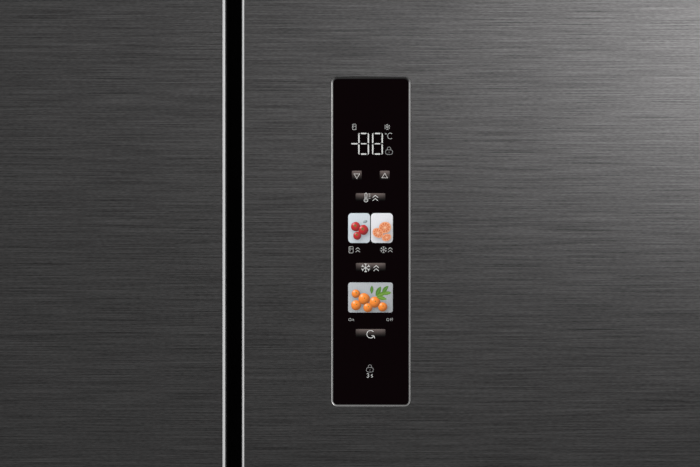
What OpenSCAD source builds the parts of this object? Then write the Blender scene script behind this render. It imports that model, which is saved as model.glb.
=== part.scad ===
// Multi-door refrigerator: two hinged doors above two pull-out freezer drawers.
// Millimetres. The origin is the centre of the footprint on the floor.
// The front faces -Y, +X is to the right and +Z is up.

/* [Cabinet] */
// Width of the cabinet and of the closed front
cab_w = 833; // [800:1:900]
// Depth of the cabinet behind the door seals
cab_d = 618; // [600:1:660]
// Height of the cabinet's top above the floor
cab_h = 1782; // [1770:1:1830]
// Height of the cabinet's underside above the floor
base_z = 45; // [42:1:50]
// Thickness of the insulated side walls
side_wall = 48; // [44:1:54]
// Thickness of the insulated top
top_wall = 50; // [44:1:56]
// Thickness of the insulated back wall
back_wall = 60; // [52:1:66]
// Thickness of the insulated freezer floor
floor_wall = 50; // [44:1:54]
// Thickness of the steel sheet
sheet_t = 1; // [0.8:0.1:1.4]
// Thickness of the moulded liners
liner_t = 2; // [1.6:0.1:2.6]
// Depth of the machine room at the bottom rear
room_d = 195; // [188:1:205]
// Height of the machine room above the cabinet's underside
room_h = 205; // [195:1:215]

/* [Doors and drawer fronts] */
// Thickness of the doors and drawer fronts
door_t = 62; // [58:1:68]
// Gap between the two doors
door_gap = 14; // [12:0.5:16]
// Open space above each drawer front, for the fingers
grip_gap = 22; // [20:1:26]
// Height of the lower drawer front's underside
front_z = 60; // [58:1:64]
// Height of the lower drawer front
lower_h = 338; // [325:1:345]
// Height of the upper drawer front
upper_h = 352; // [340:1:360]
// Step from the doors' top down from the cabinet's top
door_drop = 6; // [5:0.5:8]
// Radius of the fronts' outer upright edges
edge_r = 3; // [2:0.5:5]
// Width of the bright edge strip, seen from the front
nose_w = 2.4; // [2:0.1:3.5]
// Depth of the bright edge strip
nose_d = 11; // [9:0.5:13]
// Depth of the finger recess behind the strip, from the edge
recess_w = 20; // [16:1:24]
// Front-to-back opening of the finger recess
recess_t = 29; // [24:1:32]
// Wall of the edge extrusion
trim_t = 2; // [1.6:0.1:2.4]

/* [Seals and inner doors] */
// Height of a seal between its front and the cabinet
seal_t = 10; // [9:0.5:12]
// Width of a seal
seal_w = 12; // [10:0.5:13]
// Distance of a seal from the edge of its front
seal_in = 6; // [5:0.5:7]
// Running clearance between a seal and its seat
seal_clear = 0.3; // [0.2:0.1:0.5]
// Depth of the raised ridge on the inner doors
ridge_d = 48; // [40:1:54]
// Width of the ridge
ridge_w = 20; // [16:1:24]
// Clearance between the ridge and the compartment's walls
ridge_clear = 8.5; // [7:0.5:12]
// Distance of the ridge from the door's free edge
ridge_in = 43; // [41:0.5:46]

/* [Door hinges] */
// Distance of the hinge axis from the door's outer side
hinge_in = 14; // [12:0.5:16]
// Distance of the hinge axis behind the front face
hinge_back = 22; // [20:0.5:24]
// Radius of the hinge pins
pin_r = 5; // [4:0.5:6]
// Running clearance of a turning pin, per side
run_clear = 0.05; // [0.03:0.01:0.08]
// Length of the hinge pins inside the doors
pin_l = 24; // [20:1:28]
// Thickness of the hinge plates
plate_t = 4; // [3:0.5:5]
// Height of the moulded covers over the top hinges
cover_h = 18; // [15:1:24]
// Reach of a cover from the hinge axis toward the middle
cover_in = 34; // [30:1:44]
// Reach of a cover behind the cabinet's front
cover_back = 74; // [66:1:90]

/* [Folding centre bar] */
// Thickness of the bar, front to back
bar_t = 20; // [16:1:22]
// Overhang of the bar past the middle of the gap
bar_over = 3; // [2:0.5:3.5]
// Reach of the bar behind the left door, from the middle of the gap
bar_reach = 40; // [38:0.5:42]
// Radius of the bar's hinge knuckles
knuckle_r = 4; // [3.5:0.1:4.5]
// Radius of the bar's hinge pins
bar_pin_r = 2; // [1.6:0.1:2.4]
// Length of each knuckle
knuckle_l = 30; // [24:1:36]

/* [Control panel] */
// Width of the panel's frame
panel_w = 67.4; // [62:0.2:74]
// Height of the panel's frame
panel_h = 280; // [260:1:300]
// Distance of the panel from the right door's free edge
panel_in = 75.9; // [70:0.1:90]
// Height of the panel's centre above the floor
panel_z = 1330; // [1250:1:1400]
// Corner radius of the panel's frame
panel_r = 5; // [4:0.5:7]
// Wall of the panel's frame
panel_rim = 1.6; // [1.2:0.1:2]
// Depth of the panel's tray
panel_d = 9; // [8:0.5:12]
// Thickness of the panel's glass
glass_t = 3; // [2:0.5:3.5]

/* [Inside the refrigerator] */
// Thickness of the glass shelves
shelf_t = 4; // [3:0.5:5]
// Height of the lowest shelf above the compartment's floor
shelf_z = 215; // [205:1:230]
// Height of the compartment's top above the highest shelf
shelf_head = 134; // [120:1:150]
// Number of shelves
shelf_count = 4; // [3:1:4]
// Setback of the shelves behind the cabinet's front
shelf_back = 123; // [118:1:140]
// Height of the crisper drawers
crisper_h = 190; // [170:1:198]
// Distance of a crisper's grip from the crisper's ends
crisper_in = 50; // [40:1:80]
// Wall of crispers, bins and baskets
tub_t = 2.5; // [2:0.1:3.5]
// Height of a door bin
bin_h = 100; // [85:1:110]
// Depth of a door bin, from the inner door
bin_d = 101; // [90:1:104]
// Height of the lowest door bin above the ridge's lower edge
bin_z = 60; // [50:1:70]
// Height of the ridge's upper edge above the highest door bin's floor
bin_head = 302; // [280:1:320]

/* [Freezer drawers and rails] */
// Travel of the upper drawer
upper_travel = 400; // [350:1:410]
// Travel of the lower drawer
lower_travel = 305; // [280:1:310]
// Clearance between the upper basket and the freezer's rear cover
upper_back = 67; // [58:1:85]
// Clearance between the lower basket and the step behind it
lower_back = 34; // [30:1:48]
// Height of the upper basket
upper_tub = 240; // [220:1:250]
// Height of the lower basket
lower_tub = 225; // [200:1:235]
// Height of the fixed slide rails
rail_h = 40; // [36:1:46]
// Width of a slide rail
rail_w = 14; // [13:0.5:16]
// Sheet thickness of the rails
rail_t = 2; // [1.5:0.1:2.2]
// Running clearance between the rail members
rail_clear = 0.5; // [0.4:0.1:0.7]

/* [Machine room, feet and rollers] */
// Distance of the plinth in front of the cabinet
plinth_out = 24; // [20:1:26]
// Thickness of the plinth
plinth_t = 3; // [2:0.5:4]
// Height of the plinth's lower edge above the floor
plinth_z = 12; // [8:1:16]
// Distance of the plinth's ends from the cabinet's sides
plinth_in = 16; // [12:1:24]
// Width of the plinth's air slots
slot_w = 8; // [6:1:9]
// Distance of the condenser from the cabinet's side
coil_in = 90; // [80:2:100]
// Width of the condenser's fin block
coil_w = 200; // [180:2:220]
// Depth of the condenser's fin block
coil_d = 130; // [110:2:136]
// Height of the condenser's fin block
coil_h = 140; // [120:2:144]
// Radius of the compressor's shell
comp_r = 68; // [60:1:74]
// Height of the compressor's shell
comp_h = 150; // [135:1:160]
// Radius of the levelling feet
foot_r = 22; // [18:1:26]
// Height of a foot's pad
foot_h = 10; // [8:1:14]
// Radius of a foot's threaded stem
stem_r = 5; // [4:0.5:6]
// Radius of the rear rollers
roller_r = 19; // [16:1:20]
// Width of a rear roller
roller_w = 22; // [18:1:26]
// Radius of the rollers' axles
axle_r = 4; // [3:0.5:5]
// Radius of the cold-air fan
cold_fan_r = 55; // [48:1:58]
// Radius of the condenser fan
warm_fan_r = 62; // [54:1:66]
// Radius of the fans' shafts
shaft_r = 3; // [2.5:0.1:3.5]

/* [Hidden] */
$fn = 48;

// Overshoot of a cutting shape past the faces that it cuts
cut = 1;

// Planes of the cabinet and the fronts
cab_x = cab_w / 2;
total_d = door_t + seal_t + cab_d;
front_y = -total_d / 2;
door_back = front_y + door_t;
cab_y = door_back + seal_t;
rear_y = total_d / 2;
door_w = (cab_w - door_gap) / 2;

// Heights of the fronts
lower_z0 = front_z;
lower_z1 = lower_z0 + lower_h;
upper_z0 = lower_z1 + grip_gap;
upper_z1 = upper_z0 + upper_h;
door_z0 = upper_z1 + grip_gap;
door_z1 = cab_h - door_drop;

// The bars between the openings carry a seal above and below the gap
seat_margin = 1;
divider_h = grip_gap + 2 * (seal_in + seal_w + seat_margin);
divider_z = upper_z1 + grip_gap / 2;
beam_z = lower_z1 + grip_gap / 2;

// Inner faces of the compartments
room_x = cab_x - side_wall;
room_back = rear_y - back_wall;
fridge_z0 = divider_z + divider_h / 2;
fridge_z1 = cab_h - top_wall;
freezer_z0 = base_z + floor_wall;
freezer_z1 = divider_z - divider_h / 2;

// The step over the machine room
deck_t = 1.5;
machine_y = rear_y - room_d;
machine_z = base_z + room_h;
step_y = machine_y - floor_wall;
step_z = machine_z + floor_wall;

// Width of the liners' front lips
lip_w = 6;

// Hinge axes
hinge_x = cab_x - hinge_in;
hinge_y = front_y + hinge_back;

// Edge extrusion, measured from the free edge (u) and the front face (v)
recess_v0 = nose_d + trim_t;
recess_v1 = recess_v0 + recess_t;
trim_u = recess_w + trim_t;

// Points of an arc about c
function arc(c, r, a0, a1, n = 6) =
    [for (k = [0:n]) c + r * [cos(a0 + (a1 - a0) * k / n), sin(a0 + (a1 - a0) * k / n)]];

// Outline of a rectangle with round corners
function round_box(x0, y0, x1, y1, r) = concat(
    arc([x0 + r, y0 + r], r, 180, 270), arc([x1 - r, y0 + r], r, 270, 360),
    arc([x1 - r, y1 - r], r, 0, 90), arc([x0 + r, y1 - r], r, 90, 180));

// A box between two opposite corners
module block(a, b) {
    translate([min(a[0], b[0]), min(a[1], b[1]), min(a[2], b[2])])
        cube([abs(b[0] - a[0]), abs(b[1] - a[1]), abs(b[2] - a[2])]);
}

// An upright prism of a plan outline, between two heights
module prism_z(points, z0, z1) {
    translate([0, 0, z0])
        linear_extrude(z1 - z0)
            polygon(points);
}

// A prism along X of an outline in Y and Z
module prism_x(points, x0, x1) {
    translate([x0, 0, 0])
        rotate([90, 0, 90])
            linear_extrude(x1 - x0)
                polygon(points);
}

// A prism along Y of an outline in X and Z
module prism_y(points, y0, y1) {
    translate([0, y1, 0])
        rotate([90, 0, 0])
            linear_extrude(y1 - y0)
                polygon(points);
}

// Repeats its children on the left and the right
module both_sides() {
    children();
    mirror([1, 0, 0])
        children();
}

// Places door parts, drawn from the free edge outward: side is -1 for the left door
module at_door(side) {
    if (side < 0)
        mirror([1, 0, 0])
            translate([door_gap / 2, front_y, 0])
                children();
    else
        translate([door_gap / 2, front_y, 0])
            children();
}

// Places of the levelling feet and the rear rollers
foot_x = cab_x - 36;
foot_y = cab_y + 32;
boss_h = 12;
nut_r = stem_r + 4;
stem_top = base_z + 24;
roller_x = cab_x - 44;
roller_y = rear_y - 40;
axle_z = roller_r;

// Shelves
shelf_y0 = cab_y + shelf_back;
shelf_y1 = room_back - 6;
shelf_gap = 1;
shelf_lip = 8;
shelf_trim_w = 16;
rib_w = 8;
rib_h = 6;
shelf_step = (fridge_z1 - fridge_z0 - shelf_z - shelf_head) / (shelf_count - 1);
shelf_heights = [for (k = [0:shelf_count - 1]) fridge_z0 + shelf_z + k * shelf_step];

// Cold-air tunnel behind the freezer
duct_d = 57;
duct_y = room_back - duct_d;
duct_t = 3;
duct_x = room_x - 2;
duct_z0 = step_z + 4;
duct_z1 = freezer_z1 - 3;
cold_fan_z = duct_z1 - cold_fan_r - 14;
coil_x = room_x - 88;

// Painted steel shell: the sides, the top and the front face round both compartments
module cabinet_wrap() {
    color("#3a3c40") {
        difference() {
            block([-cab_x, cab_y, base_z], [cab_x, rear_y, cab_h]);
            block([-cab_x + sheet_t, cab_y - cut, base_z - cut],
                [cab_x - sheet_t, rear_y + cut, cab_h - sheet_t]);
        }
        difference() {
            block([-cab_x, cab_y, base_z], [cab_x, cab_y + sheet_t, cab_h]);
            block([-room_x - lip_w, cab_y - cut, fridge_z0 - lip_w],
                [room_x + lip_w, cab_y + sheet_t + cut, fridge_z1 + lip_w]);
            block([-room_x - lip_w, cab_y - cut, freezer_z0 - lip_w],
                [room_x + lip_w, cab_y + sheet_t + cut, freezer_z1 + lip_w]);
        }
    }
}

// Side outline of the freezer, which steps up over the machine room
function freezer_side(grow) = [[cab_y - grow, freezer_z0 - grow], [step_y + grow, freezer_z0 - grow],
    [step_y + grow, step_z - grow], [room_back + grow, step_z - grow],
    [room_back + grow, freezer_z1 + grow], [cab_y - grow, freezer_z1 + grow]];

// Side outline of the insulation, which the machine room cuts into
foam_side = [[cab_y + sheet_t, base_z + deck_t], [machine_y - deck_t, base_z + deck_t],
    [machine_y - deck_t, machine_z + deck_t], [rear_y - sheet_t, machine_z + deck_t],
    [rear_y - sheet_t, cab_h - sheet_t], [cab_y + sheet_t, cab_h - sheet_t]];

// Foamed insulation between the shell and the liners
module cabinet_foam() {
    color("#e6d9a2")
        difference() {
            prism_x(foam_side, -cab_x + sheet_t, cab_x - sheet_t);
            block([-room_x - liner_t, cab_y - cut, fridge_z0 - liner_t],
                [room_x + liner_t, room_back + liner_t, fridge_z1 + liner_t]);
            prism_x(freezer_side(liner_t), -room_x - liner_t, room_x + liner_t);
            both_sides()
                translate([foot_x, foot_y, base_z])
                    cylinder(r = nut_r, h = stem_top - base_z + 3);
        }
}

// Thin steel back, above the machine room
module back_panel() {
    color("#8f9296")
        block([-cab_x + sheet_t, rear_y - sheet_t, machine_z + deck_t],
            [cab_x - sheet_t, rear_y, cab_h - sheet_t]);
}

// Lip of a liner, which laps the shell's front face
module liner_lip(z0, z1) {
    difference() {
        block([-room_x - lip_w, cab_y, z0 - lip_w], [room_x + lip_w, cab_y + sheet_t, z1 + lip_w]);
        block([-room_x, cab_y - cut, z0], [room_x, cab_y + sheet_t + cut, z1]);
    }
}

// Moulded liner of the refrigerator, with the ribs that carry the shelves
module fridge_liner() {
    color("#f2f3f2") {
        difference() {
            block([-room_x - liner_t, cab_y, fridge_z0 - liner_t],
                [room_x + liner_t, room_back + liner_t, fridge_z1 + liner_t]);
            block([-room_x, cab_y - cut, fridge_z0], [room_x, room_back, fridge_z1]);
        }
        liner_lip(fridge_z0, fridge_z1);
        both_sides()
            for (z = shelf_heights)
                block([room_x - rib_w, shelf_y0 + shelf_trim_w + 2, z - rib_h],
                    [room_x + liner_t / 2, shelf_y1 - shelf_trim_w - 2, z]);
    }
}

// Moulded liner of the freezer
module freezer_liner() {
    color("#f2f3f2") {
        difference() {
            intersection() {
                prism_x(freezer_side(liner_t), -room_x - liner_t, room_x + liner_t);
                block([-cab_w, cab_y, 0], [cab_w, rear_y, cab_h]);
            }
            prism_x(freezer_side(0), -room_x, room_x);
            block([-room_x, cab_y - cut, freezer_z0], [room_x, cab_y + cut, freezer_z1]);
        }
        liner_lip(freezer_z0, freezer_z1);
    }
}

// Cross bar between the two drawers, on which their seals close
module drawer_beam() {
    beam_d = 40;
    flange_d = 4;
    color("#e4e5e6")
        difference() {
            block([-room_x, cab_y, beam_z - divider_h / 2], [room_x, cab_y + beam_d, beam_z + divider_h / 2]);
            block([-room_x + flange_d, cab_y + flange_d, beam_z - divider_h / 2 + flange_d],
                [room_x - flange_d, cab_y + beam_d + cut, beam_z + divider_h / 2 - flange_d]);
        }
}

// Boss with the thread of a levelling foot
module foot_boss() {
    translate([foot_x, foot_y, base_z - boss_h])
        cylinder(r = nut_r, h = boss_h + deck_t / 2);
}

// Bracket of a rear roller: two cheeks below the deck
module roller_bracket() {
    cheek = 2;
    half = roller_w / 2 + 1;
    for (x = [roller_x - half - cheek, roller_x + half])
        roller_cheek(x, cheek);
}

// One cheek: a plate with a round lower end about the axle
module roller_cheek(x, cheek) {
    arm = axle_r + 5;
    block([x, roller_y - arm, axle_z], [x + cheek, roller_y + arm, base_z + deck_t / 2]);
    translate([x, roller_y, axle_z])
        rotate([0, 90, 0])
            cylinder(r = arm, h = cheek);
}

// Steel underbody: the floor, the machine room's front wall and its roof
module base_plate() {
    color("#777b80")
        difference() {
            union() {
                block([-cab_x + sheet_t, cab_y + sheet_t, base_z],
                    [cab_x - sheet_t, rear_y, base_z + deck_t]);
                block([-cab_x + sheet_t, machine_y - deck_t, base_z],
                    [cab_x - sheet_t, machine_y, machine_z + deck_t]);
                block([-cab_x + sheet_t, machine_y - deck_t, machine_z],
                    [cab_x - sheet_t, rear_y, machine_z + deck_t]);
                both_sides() {
                    foot_boss();
                    roller_bracket();
                }
            }
            both_sides() {
                translate([foot_x, foot_y, base_z - boss_h - cut])
                    cylinder(r = stem_r + run_clear, h = boss_h + deck_t + 2 * cut);
                translate([roller_x - roller_w, roller_y, axle_z])
                    rotate([0, 90, 0])
                        cylinder(r = axle_r + run_clear, h = 2 * roller_w);
            }
        }
}

// Plinth below the lower drawer, with its row of air slots
module kick_grille() {
    plinth_y = cab_y - plinth_out;
    plinth_x = cab_x - plinth_in;
    plinth_top = front_z - 5;
    slot_step = 2 * slot_w;
    slots = floor((plinth_x - 60) / slot_step);
    color("#26282a")
        difference() {
            union() {
                block([-plinth_x, plinth_y, plinth_z], [plinth_x, plinth_y + plinth_t, plinth_top]);
                block([-plinth_x, plinth_y, base_z - plinth_t],
                    [plinth_x, foot_y - nut_r - 6, base_z]);
            }
            for (k = [-slots:slots])
                block([k * slot_step - slot_w / 2, plinth_y - cut, plinth_z + 6],
                    [k * slot_step + slot_w / 2, plinth_y + plinth_t + cut, base_z - plinth_t - 2]);
        }
}

// Rear cover of the machine room, with rows of air slots
module machine_cover() {
    cover_t = 2;
    slot_l = 60;
    slot_h = 5;
    color("#55595e")
        difference() {
            block([-cab_x + sheet_t, rear_y - cover_t, base_z + deck_t],
                [cab_x - sheet_t, rear_y, machine_z]);
            for (i = [-4:4], j = [0:7])
                if (abs(i) > 0)
                    block([i * 84 - slot_l / 2, rear_y - cover_t - cut, base_z + 36 + j * 18],
                        [i * 84 + slot_l / 2, rear_y + cut, base_z + 36 + j * 18 + slot_h]);
        }
}

// Round sealed compressor: outline of the shell's half, turned about its upright axis
comp_x = cab_x - 190;
comp_y = rear_y - room_d / 2;
mount_h = 14;
comp_z = base_z + deck_t + mount_h;
mount_in = comp_r + 4;

module compressor() {
    dome = comp_r * 0.4;
    weld = 3;
    color("#1d1f22") {
        translate([comp_x, comp_y, comp_z + 2])
            rotate_extrude()
                polygon(concat([[0, 0], [comp_r * 0.6, 0]],
                    arc([comp_r - dome, dome], dome, -90, 0),
                    [[comp_r, comp_h / 2 - weld], [comp_r + weld, comp_h / 2 - weld],
                     [comp_r + weld, comp_h / 2 + weld], [comp_r, comp_h / 2 + weld]],
                    arc([comp_r - dome, comp_h - dome], dome, 0, 90), [[0, comp_h]]));
        translate([comp_x, comp_y, comp_z])
            linear_extrude(3)
                polygon(round_box(-mount_in - 12, -mount_in + 8, mount_in + 12, mount_in - 8, 12));
        translate([comp_x - comp_r * 0.8, comp_y, comp_z + comp_h * 0.62])
            rotate([0, -90, 0])
                cylinder(r = 4, h = comp_r * 0.4);
        translate([comp_x + comp_r * 0.8, comp_y, comp_z + comp_h * 0.4])
            rotate([0, 90, 0])
                cylinder(r = 3.2, h = comp_r * 0.4);
    }
}

// Rubber mounts under the compressor's feet
module compressor_mounts() {
    color("#111111")
        for (sx = [-1, 1], sy = [-1, 1])
            translate([comp_x + sx * mount_in, comp_y + sy * (mount_in - 22), base_z + deck_t]) {
                cylinder(r = 10, h = mount_h);
                cylinder(r = 13, h = mount_h / 3);
            }
}

// Condenser: a serpentine tube through a block of fins, standing on the underbody
coil_x0 = -cab_x + coil_in;
coil_x1 = coil_x0 + coil_w;

module finned_coil(x0, x1, y0, y1, z0, z1, fins, rows, tube_r) {
    pitch = (x1 - x0) / (fins - 1);
    row_step = (z1 - z0) / rows;
    for (k = [0:fins - 1])
        block([x0 + k * pitch, y0, z0], [x0 + k * pitch + 1, y1, z1]);
    for (j = [0:rows - 1], y = [y0 + (y1 - y0) * 0.3, y0 + (y1 - y0) * 0.7])
        translate([x0 - 8, y, z0 + (j + 0.5) * row_step])
            rotate([0, 90, 0])
                cylinder(r = tube_r, h = x1 - x0 + 17);
}

module condenser() {
    floor_z = base_z + deck_t;
    coil_z0 = floor_z + 12;
    y0 = comp_y - coil_d / 2;
    color("#2c2e30") {
        finned_coil(coil_x0, coil_x1, y0, y0 + coil_d, coil_z0, coil_z0 + coil_h, 15, 5, 3);
        for (x = [coil_x0 - 3, coil_x1 + 2])
            block([x, y0 - 4, floor_z], [x + 2, y0 + coil_d + 4, coil_z0 + coil_h + 4]);
    }
}

// Motors of both fans: the warm one on a pedestal with a ring, the cold one on the back wall
warm_fan_x = coil_x1 + 34;
warm_fan_z = base_z + deck_t + warm_fan_r + 12;
fan_h = 14;
fan_gap = 4;
motor_r = 18;
motor_l = 30;

module fan_motors() {
    floor_z = base_z + deck_t;
    ring = warm_fan_r + 4;
    color("#3b3d40") {
        difference() {
            union() {
                translate([warm_fan_x + fan_h + fan_gap, comp_y, warm_fan_z])
                    rotate([0, 90, 0])
                        cylinder(r = motor_r, h = motor_l);
                block([warm_fan_x + fan_h + fan_gap + 6, comp_y - 8, floor_z],
                    [warm_fan_x + fan_h + fan_gap + motor_l - 6, comp_y + 8, warm_fan_z - motor_r / 2]);
            }
            translate([warm_fan_x, comp_y, warm_fan_z])
                rotate([0, 90, 0])
                    cylinder(r = shaft_r + run_clear, h = fan_h + fan_gap + motor_l / 2 + 3);
        }
        difference() {
            block([warm_fan_x - 3, comp_y - ring - 6, floor_z],
                [warm_fan_x + fan_h, comp_y + ring + 6, warm_fan_z + ring + 4]);
            translate([warm_fan_x - 3 - cut, comp_y, warm_fan_z])
                rotate([0, 90, 0])
                    cylinder(r = ring, h = fan_h + 3 + 2 * cut);
        }
        difference() {
            translate([0, room_back, cold_fan_z])
                rotate([90, 0, 0])
                    cylinder(r = motor_r, h = motor_l);
            translate([0, room_back - motor_l / 2 + 3, cold_fan_z])
                rotate([90, 0, 0])
                    cylinder(r = shaft_r + run_clear, h = motor_l);
        }
    }
}

// A fan with its shaft along Z: blades from z = 0 upward, the shaft above them
module fan(radius, blades) {
    hub_r = 16;
    intersection() {
        for (k = [0:blades - 1])
            rotate([0, 0, k * 360 / blades])
                translate([hub_r - 3, 0, fan_h / 2])
                    rotate([28, 0, 0])
                        translate([0, -radius * 0.3, -0.8])
                            cube([radius, radius * 0.6, 1.6]);
        difference() {
            cylinder(r = radius, h = fan_h);
            translate([0, 0, -cut])
                cylinder(r = hub_r - 4, h = fan_h + 2 * cut);
        }
    }
    cylinder(r = hub_r, h = fan_h);
    cylinder(r = shaft_r, h = fan_h + fan_gap + motor_l / 2);
}

module condenser_fan() {
    color("#c9cccf")
        translate([warm_fan_x, comp_y, warm_fan_z])
            rotate([0, 90, 0])
                fan(warm_fan_r, 5);
}

module evaporator_fan() {
    color("#e9ebec")
        translate([0, room_back - motor_l - fan_gap - fan_h, cold_fan_z])
            rotate([-90, 0, 0])
                fan(cold_fan_r, 7);
}

// Tray that catches the defrost water, on the underbody
module drain_pan() {
    pan_l = 110;
    pan_w = 140;
    pan_h = 26;
    wall = 2;
    x0 = comp_x - mount_in - 20 - pan_l;
    color("#d8dadb")
        translate([0, 0, base_z + deck_t])
            difference() {
                linear_extrude(pan_h)
                    polygon(round_box(x0, comp_y - pan_w / 2, x0 + pan_l, comp_y + pan_w / 2, 12));
                translate([0, 0, wall])
                    linear_extrude(pan_h)
                        polygon(round_box(x0 + wall, comp_y - pan_w / 2 + wall,
                            x0 + pan_l - wall, comp_y + pan_w / 2 - wall, 10));
            }
}

// Finned evaporator coil behind the freezer's rear cover, held by its end plates
module evaporator() {
    coil_z0 = duct_z0 + 26;
    coil_z1 = cold_fan_z - cold_fan_r - 20;
    color("#c4c8cb") {
        finned_coil(-coil_x, coil_x, duct_y + 12, room_back - 10, coil_z0, coil_z1, 19, 6, 4);
        both_sides()
            block([coil_x + 2, duct_y + 10, coil_z0 - 6], [coil_x + 4, room_back, coil_z1 + 6]);
    }
}

// Rear cover of the freezer: a tray with a fan opening, return slots and cold-air slots
module evaporator_cover() {
    color("#eceded")
        difference() {
            block([-duct_x, duct_y, duct_z0], [duct_x, room_back, duct_z1]);
            block([-duct_x + duct_t, duct_y + duct_t, duct_z0 + duct_t],
                [duct_x - duct_t, room_back + cut, duct_z1 - duct_t]);
            for (k = [-8:8])
                block([k * 36 - 11, duct_y - cut, duct_z0 + 14],
                    [k * 36 + 11, duct_y + duct_t + cut, duct_z0 + 24]);
            for (side = [-1, 1], j = [0:3])
                block([side * 110, duct_y - cut, cold_fan_z - 34 + j * 18],
                    [side * 230, duct_y + duct_t + cut, cold_fan_z - 28 + j * 18]);
            for (j = [-3:3])
                let (half = sqrt(pow(cold_fan_r - 8, 2) - pow(j * 12 + 3, 2)))
                    block([-half, duct_y - cut, cold_fan_z + j * 12 - 3],
                        [half, duct_y + duct_t + cut, cold_fan_z + j * 12 + 3]);
        }
}

// Lamp in the refrigerator's ceiling
module ceiling_lamp() {
    color("#ffffff")
        translate([0, 0, fridge_z1 - 10])
            linear_extrude(10)
                polygon(round_box(-90, shelf_y0 - 40, 90, shelf_y0 + 10, 12));
}

// Toughened glass shelves
module shelves() {
    color("#c8e0e2")
        for (z = shelf_heights)
            block([-room_x + shelf_gap, shelf_y0 + shelf_lip, z],
                [room_x - shelf_gap, shelf_y1 - shelf_lip, z + shelf_t]);
}

// Front and rear trims, each with a groove that takes a shelf's edge
module shelf_trims() {
    top_lip = 2;
    low_lip = 5;
    color("#b9bdc0")
        for (z = shelf_heights, rear = [0, 1])
            translate([0, rear * (shelf_y0 + shelf_y1), 0])
                mirror([0, rear, 0])
                    difference() {
                        prism_x([[shelf_y0 + 2, z - low_lip], [shelf_y0 + shelf_trim_w, z - low_lip],
                            [shelf_y0 + shelf_trim_w, z + shelf_t + top_lip],
                            [shelf_y0 + 2, z + shelf_t + top_lip], [shelf_y0, z + shelf_t],
                            [shelf_y0, z - low_lip + 2]],
                            -room_x + shelf_gap, room_x - shelf_gap);
                        block([-room_x, shelf_y0 + shelf_lip, z],
                            [room_x, shelf_y0 + shelf_trim_w + cut, z + shelf_t]);
                    }
}

// An open tub with round corners in plan
module tub(x0, y0, x1, y1, z0, z1, r, wall) {
    difference() {
        prism_z(round_box(x0, y0, x1, y1, r), z0, z1);
        prism_z(round_box(x0 + wall, y0 + wall, x1 - wall, y1 - wall, r - wall), z0 + wall, z1 + cut);
    }
}

// Two crisper drawers side by side, with a grip along each front
module crispers() {
    mid_gap = 4;
    face_t = 16;
    y0 = shelf_y0 + 6;
    y1 = room_back - 16;
    color("#dfe9ec")
        both_sides()
            difference() {
                union() {
                    tub(mid_gap, y0 + 2, room_x - 4, y1, fridge_z0, fridge_z0 + crisper_h, 14, tub_t);
                    prism_z(round_box(mid_gap, y0, room_x - 4, y0 + face_t, 5), fridge_z0,
                        fridge_z0 + crisper_h);
                }
                prism_x([[y0 - cut, fridge_z0 + crisper_h - 46], [y0 + 9, fridge_z0 + crisper_h - 42],
                    [y0 + 9, fridge_z0 + crisper_h - 18], [y0 - cut, fridge_z0 + crisper_h - 24]],
                    mid_gap + crisper_in, room_x - 4 - crisper_in);
            }
}

// Hinge plates with their upright pins: one pair on the top, one pair in the middle
module hinge_brackets() {
    washer = 1.5;
    arm_z = upper_z1 + (grip_gap - plate_t) / 2;
    flange_in = 44;
    color("#6b6f74")
        both_sides() {
            translate([0, 0, cab_h])
                linear_extrude(plate_t)
                    polygon(round_box(hinge_x - 22, hinge_y - 12, cab_x - 1.5, cab_y + 60, 8));
            translate([hinge_x, hinge_y, door_z1 - pin_l])
                cylinder(r = pin_r, h = cab_h + plate_t - door_z1 + pin_l);
            block([cab_x - flange_in, cab_y - 3, upper_z1 + 1.5], [cab_x - 0.5, cab_y, door_z0 - 1.5]);
            translate([0, 0, arm_z])
                linear_extrude(plate_t)
                    polygon(round_box(hinge_x - 20, hinge_y - 11, cab_x - 1, cab_y, 6));
            translate([hinge_x, hinge_y, arm_z])
                cylinder(r = pin_r, h = door_z0 + pin_l - arm_z);
            translate([hinge_x, hinge_y, arm_z + plate_t / 2])
                cylinder(r = pin_r + 4, h = door_z0 - washer / 3 - arm_z - plate_t / 2);
        }
}

// Moulded covers over the top hinges
module hinge_covers() {
    wall = 2.5;
    x0 = hinge_x - cover_in;
    y0 = hinge_y - 16;
    y1 = cab_y + cover_back;
    color("#2b2d30")
        both_sides()
            difference() {
                prism_z(round_box(x0, y0, cab_x, y1, 12), cab_h, cab_h + cover_h);
                prism_z(round_box(x0 + wall, y0 + wall, cab_x - wall / 2, y1 - wall, 10), cab_h - cut,
                    cab_h + cover_h - wall);
            }
}

// Three-part slides: rail members nest with a running clearance
rail_y0 = cab_y + 6;
rail_up = 140;
upper_rail_z = upper_z0 + rail_up;
lower_rail_z = lower_z0 + rail_up;
rail_keep = 30;
upper_rail_l = upper_travel + rail_keep;
lower_rail_l = lower_travel + rail_keep;
mid_in = rail_t + rail_clear;
inner_in = 2 * mid_in;
ledge_w = 14;
ledge_drop = 8;
basket_gap = 4;
upper_depth = duct_y - upper_back - door_back - basket_gap;
lower_depth = step_y - lower_back - door_back - basket_gap;

// A channel along Y that opens toward the middle, set in from the wall and from its height
module channel(inset, z, y0, y1) {
    half = rail_h / 2 - inset;
    difference() {
        block([room_x - rail_w, y0, z - half], [room_x - inset, y1, z + half]);
        block([room_x - rail_w - cut, y0 - cut, z - half + rail_t],
            [room_x - inset - rail_t, y1 + cut, z + half - rail_t]);
    }
}

// Rail members screwed to the freezer's walls
module fixed_rails() {
    color("#a9adb1")
        both_sides() {
            channel(0, upper_rail_z, rail_y0, rail_y0 + upper_rail_l);
            channel(0, lower_rail_z, rail_y0, rail_y0 + lower_rail_l);
        }
}

// Middle members, which run half as far as the drawer
module mid_rails(z, length) {
    color("#bcc0c4")
        both_sides()
            channel(mid_in, z, rail_y0, rail_y0 + length);
}

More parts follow.
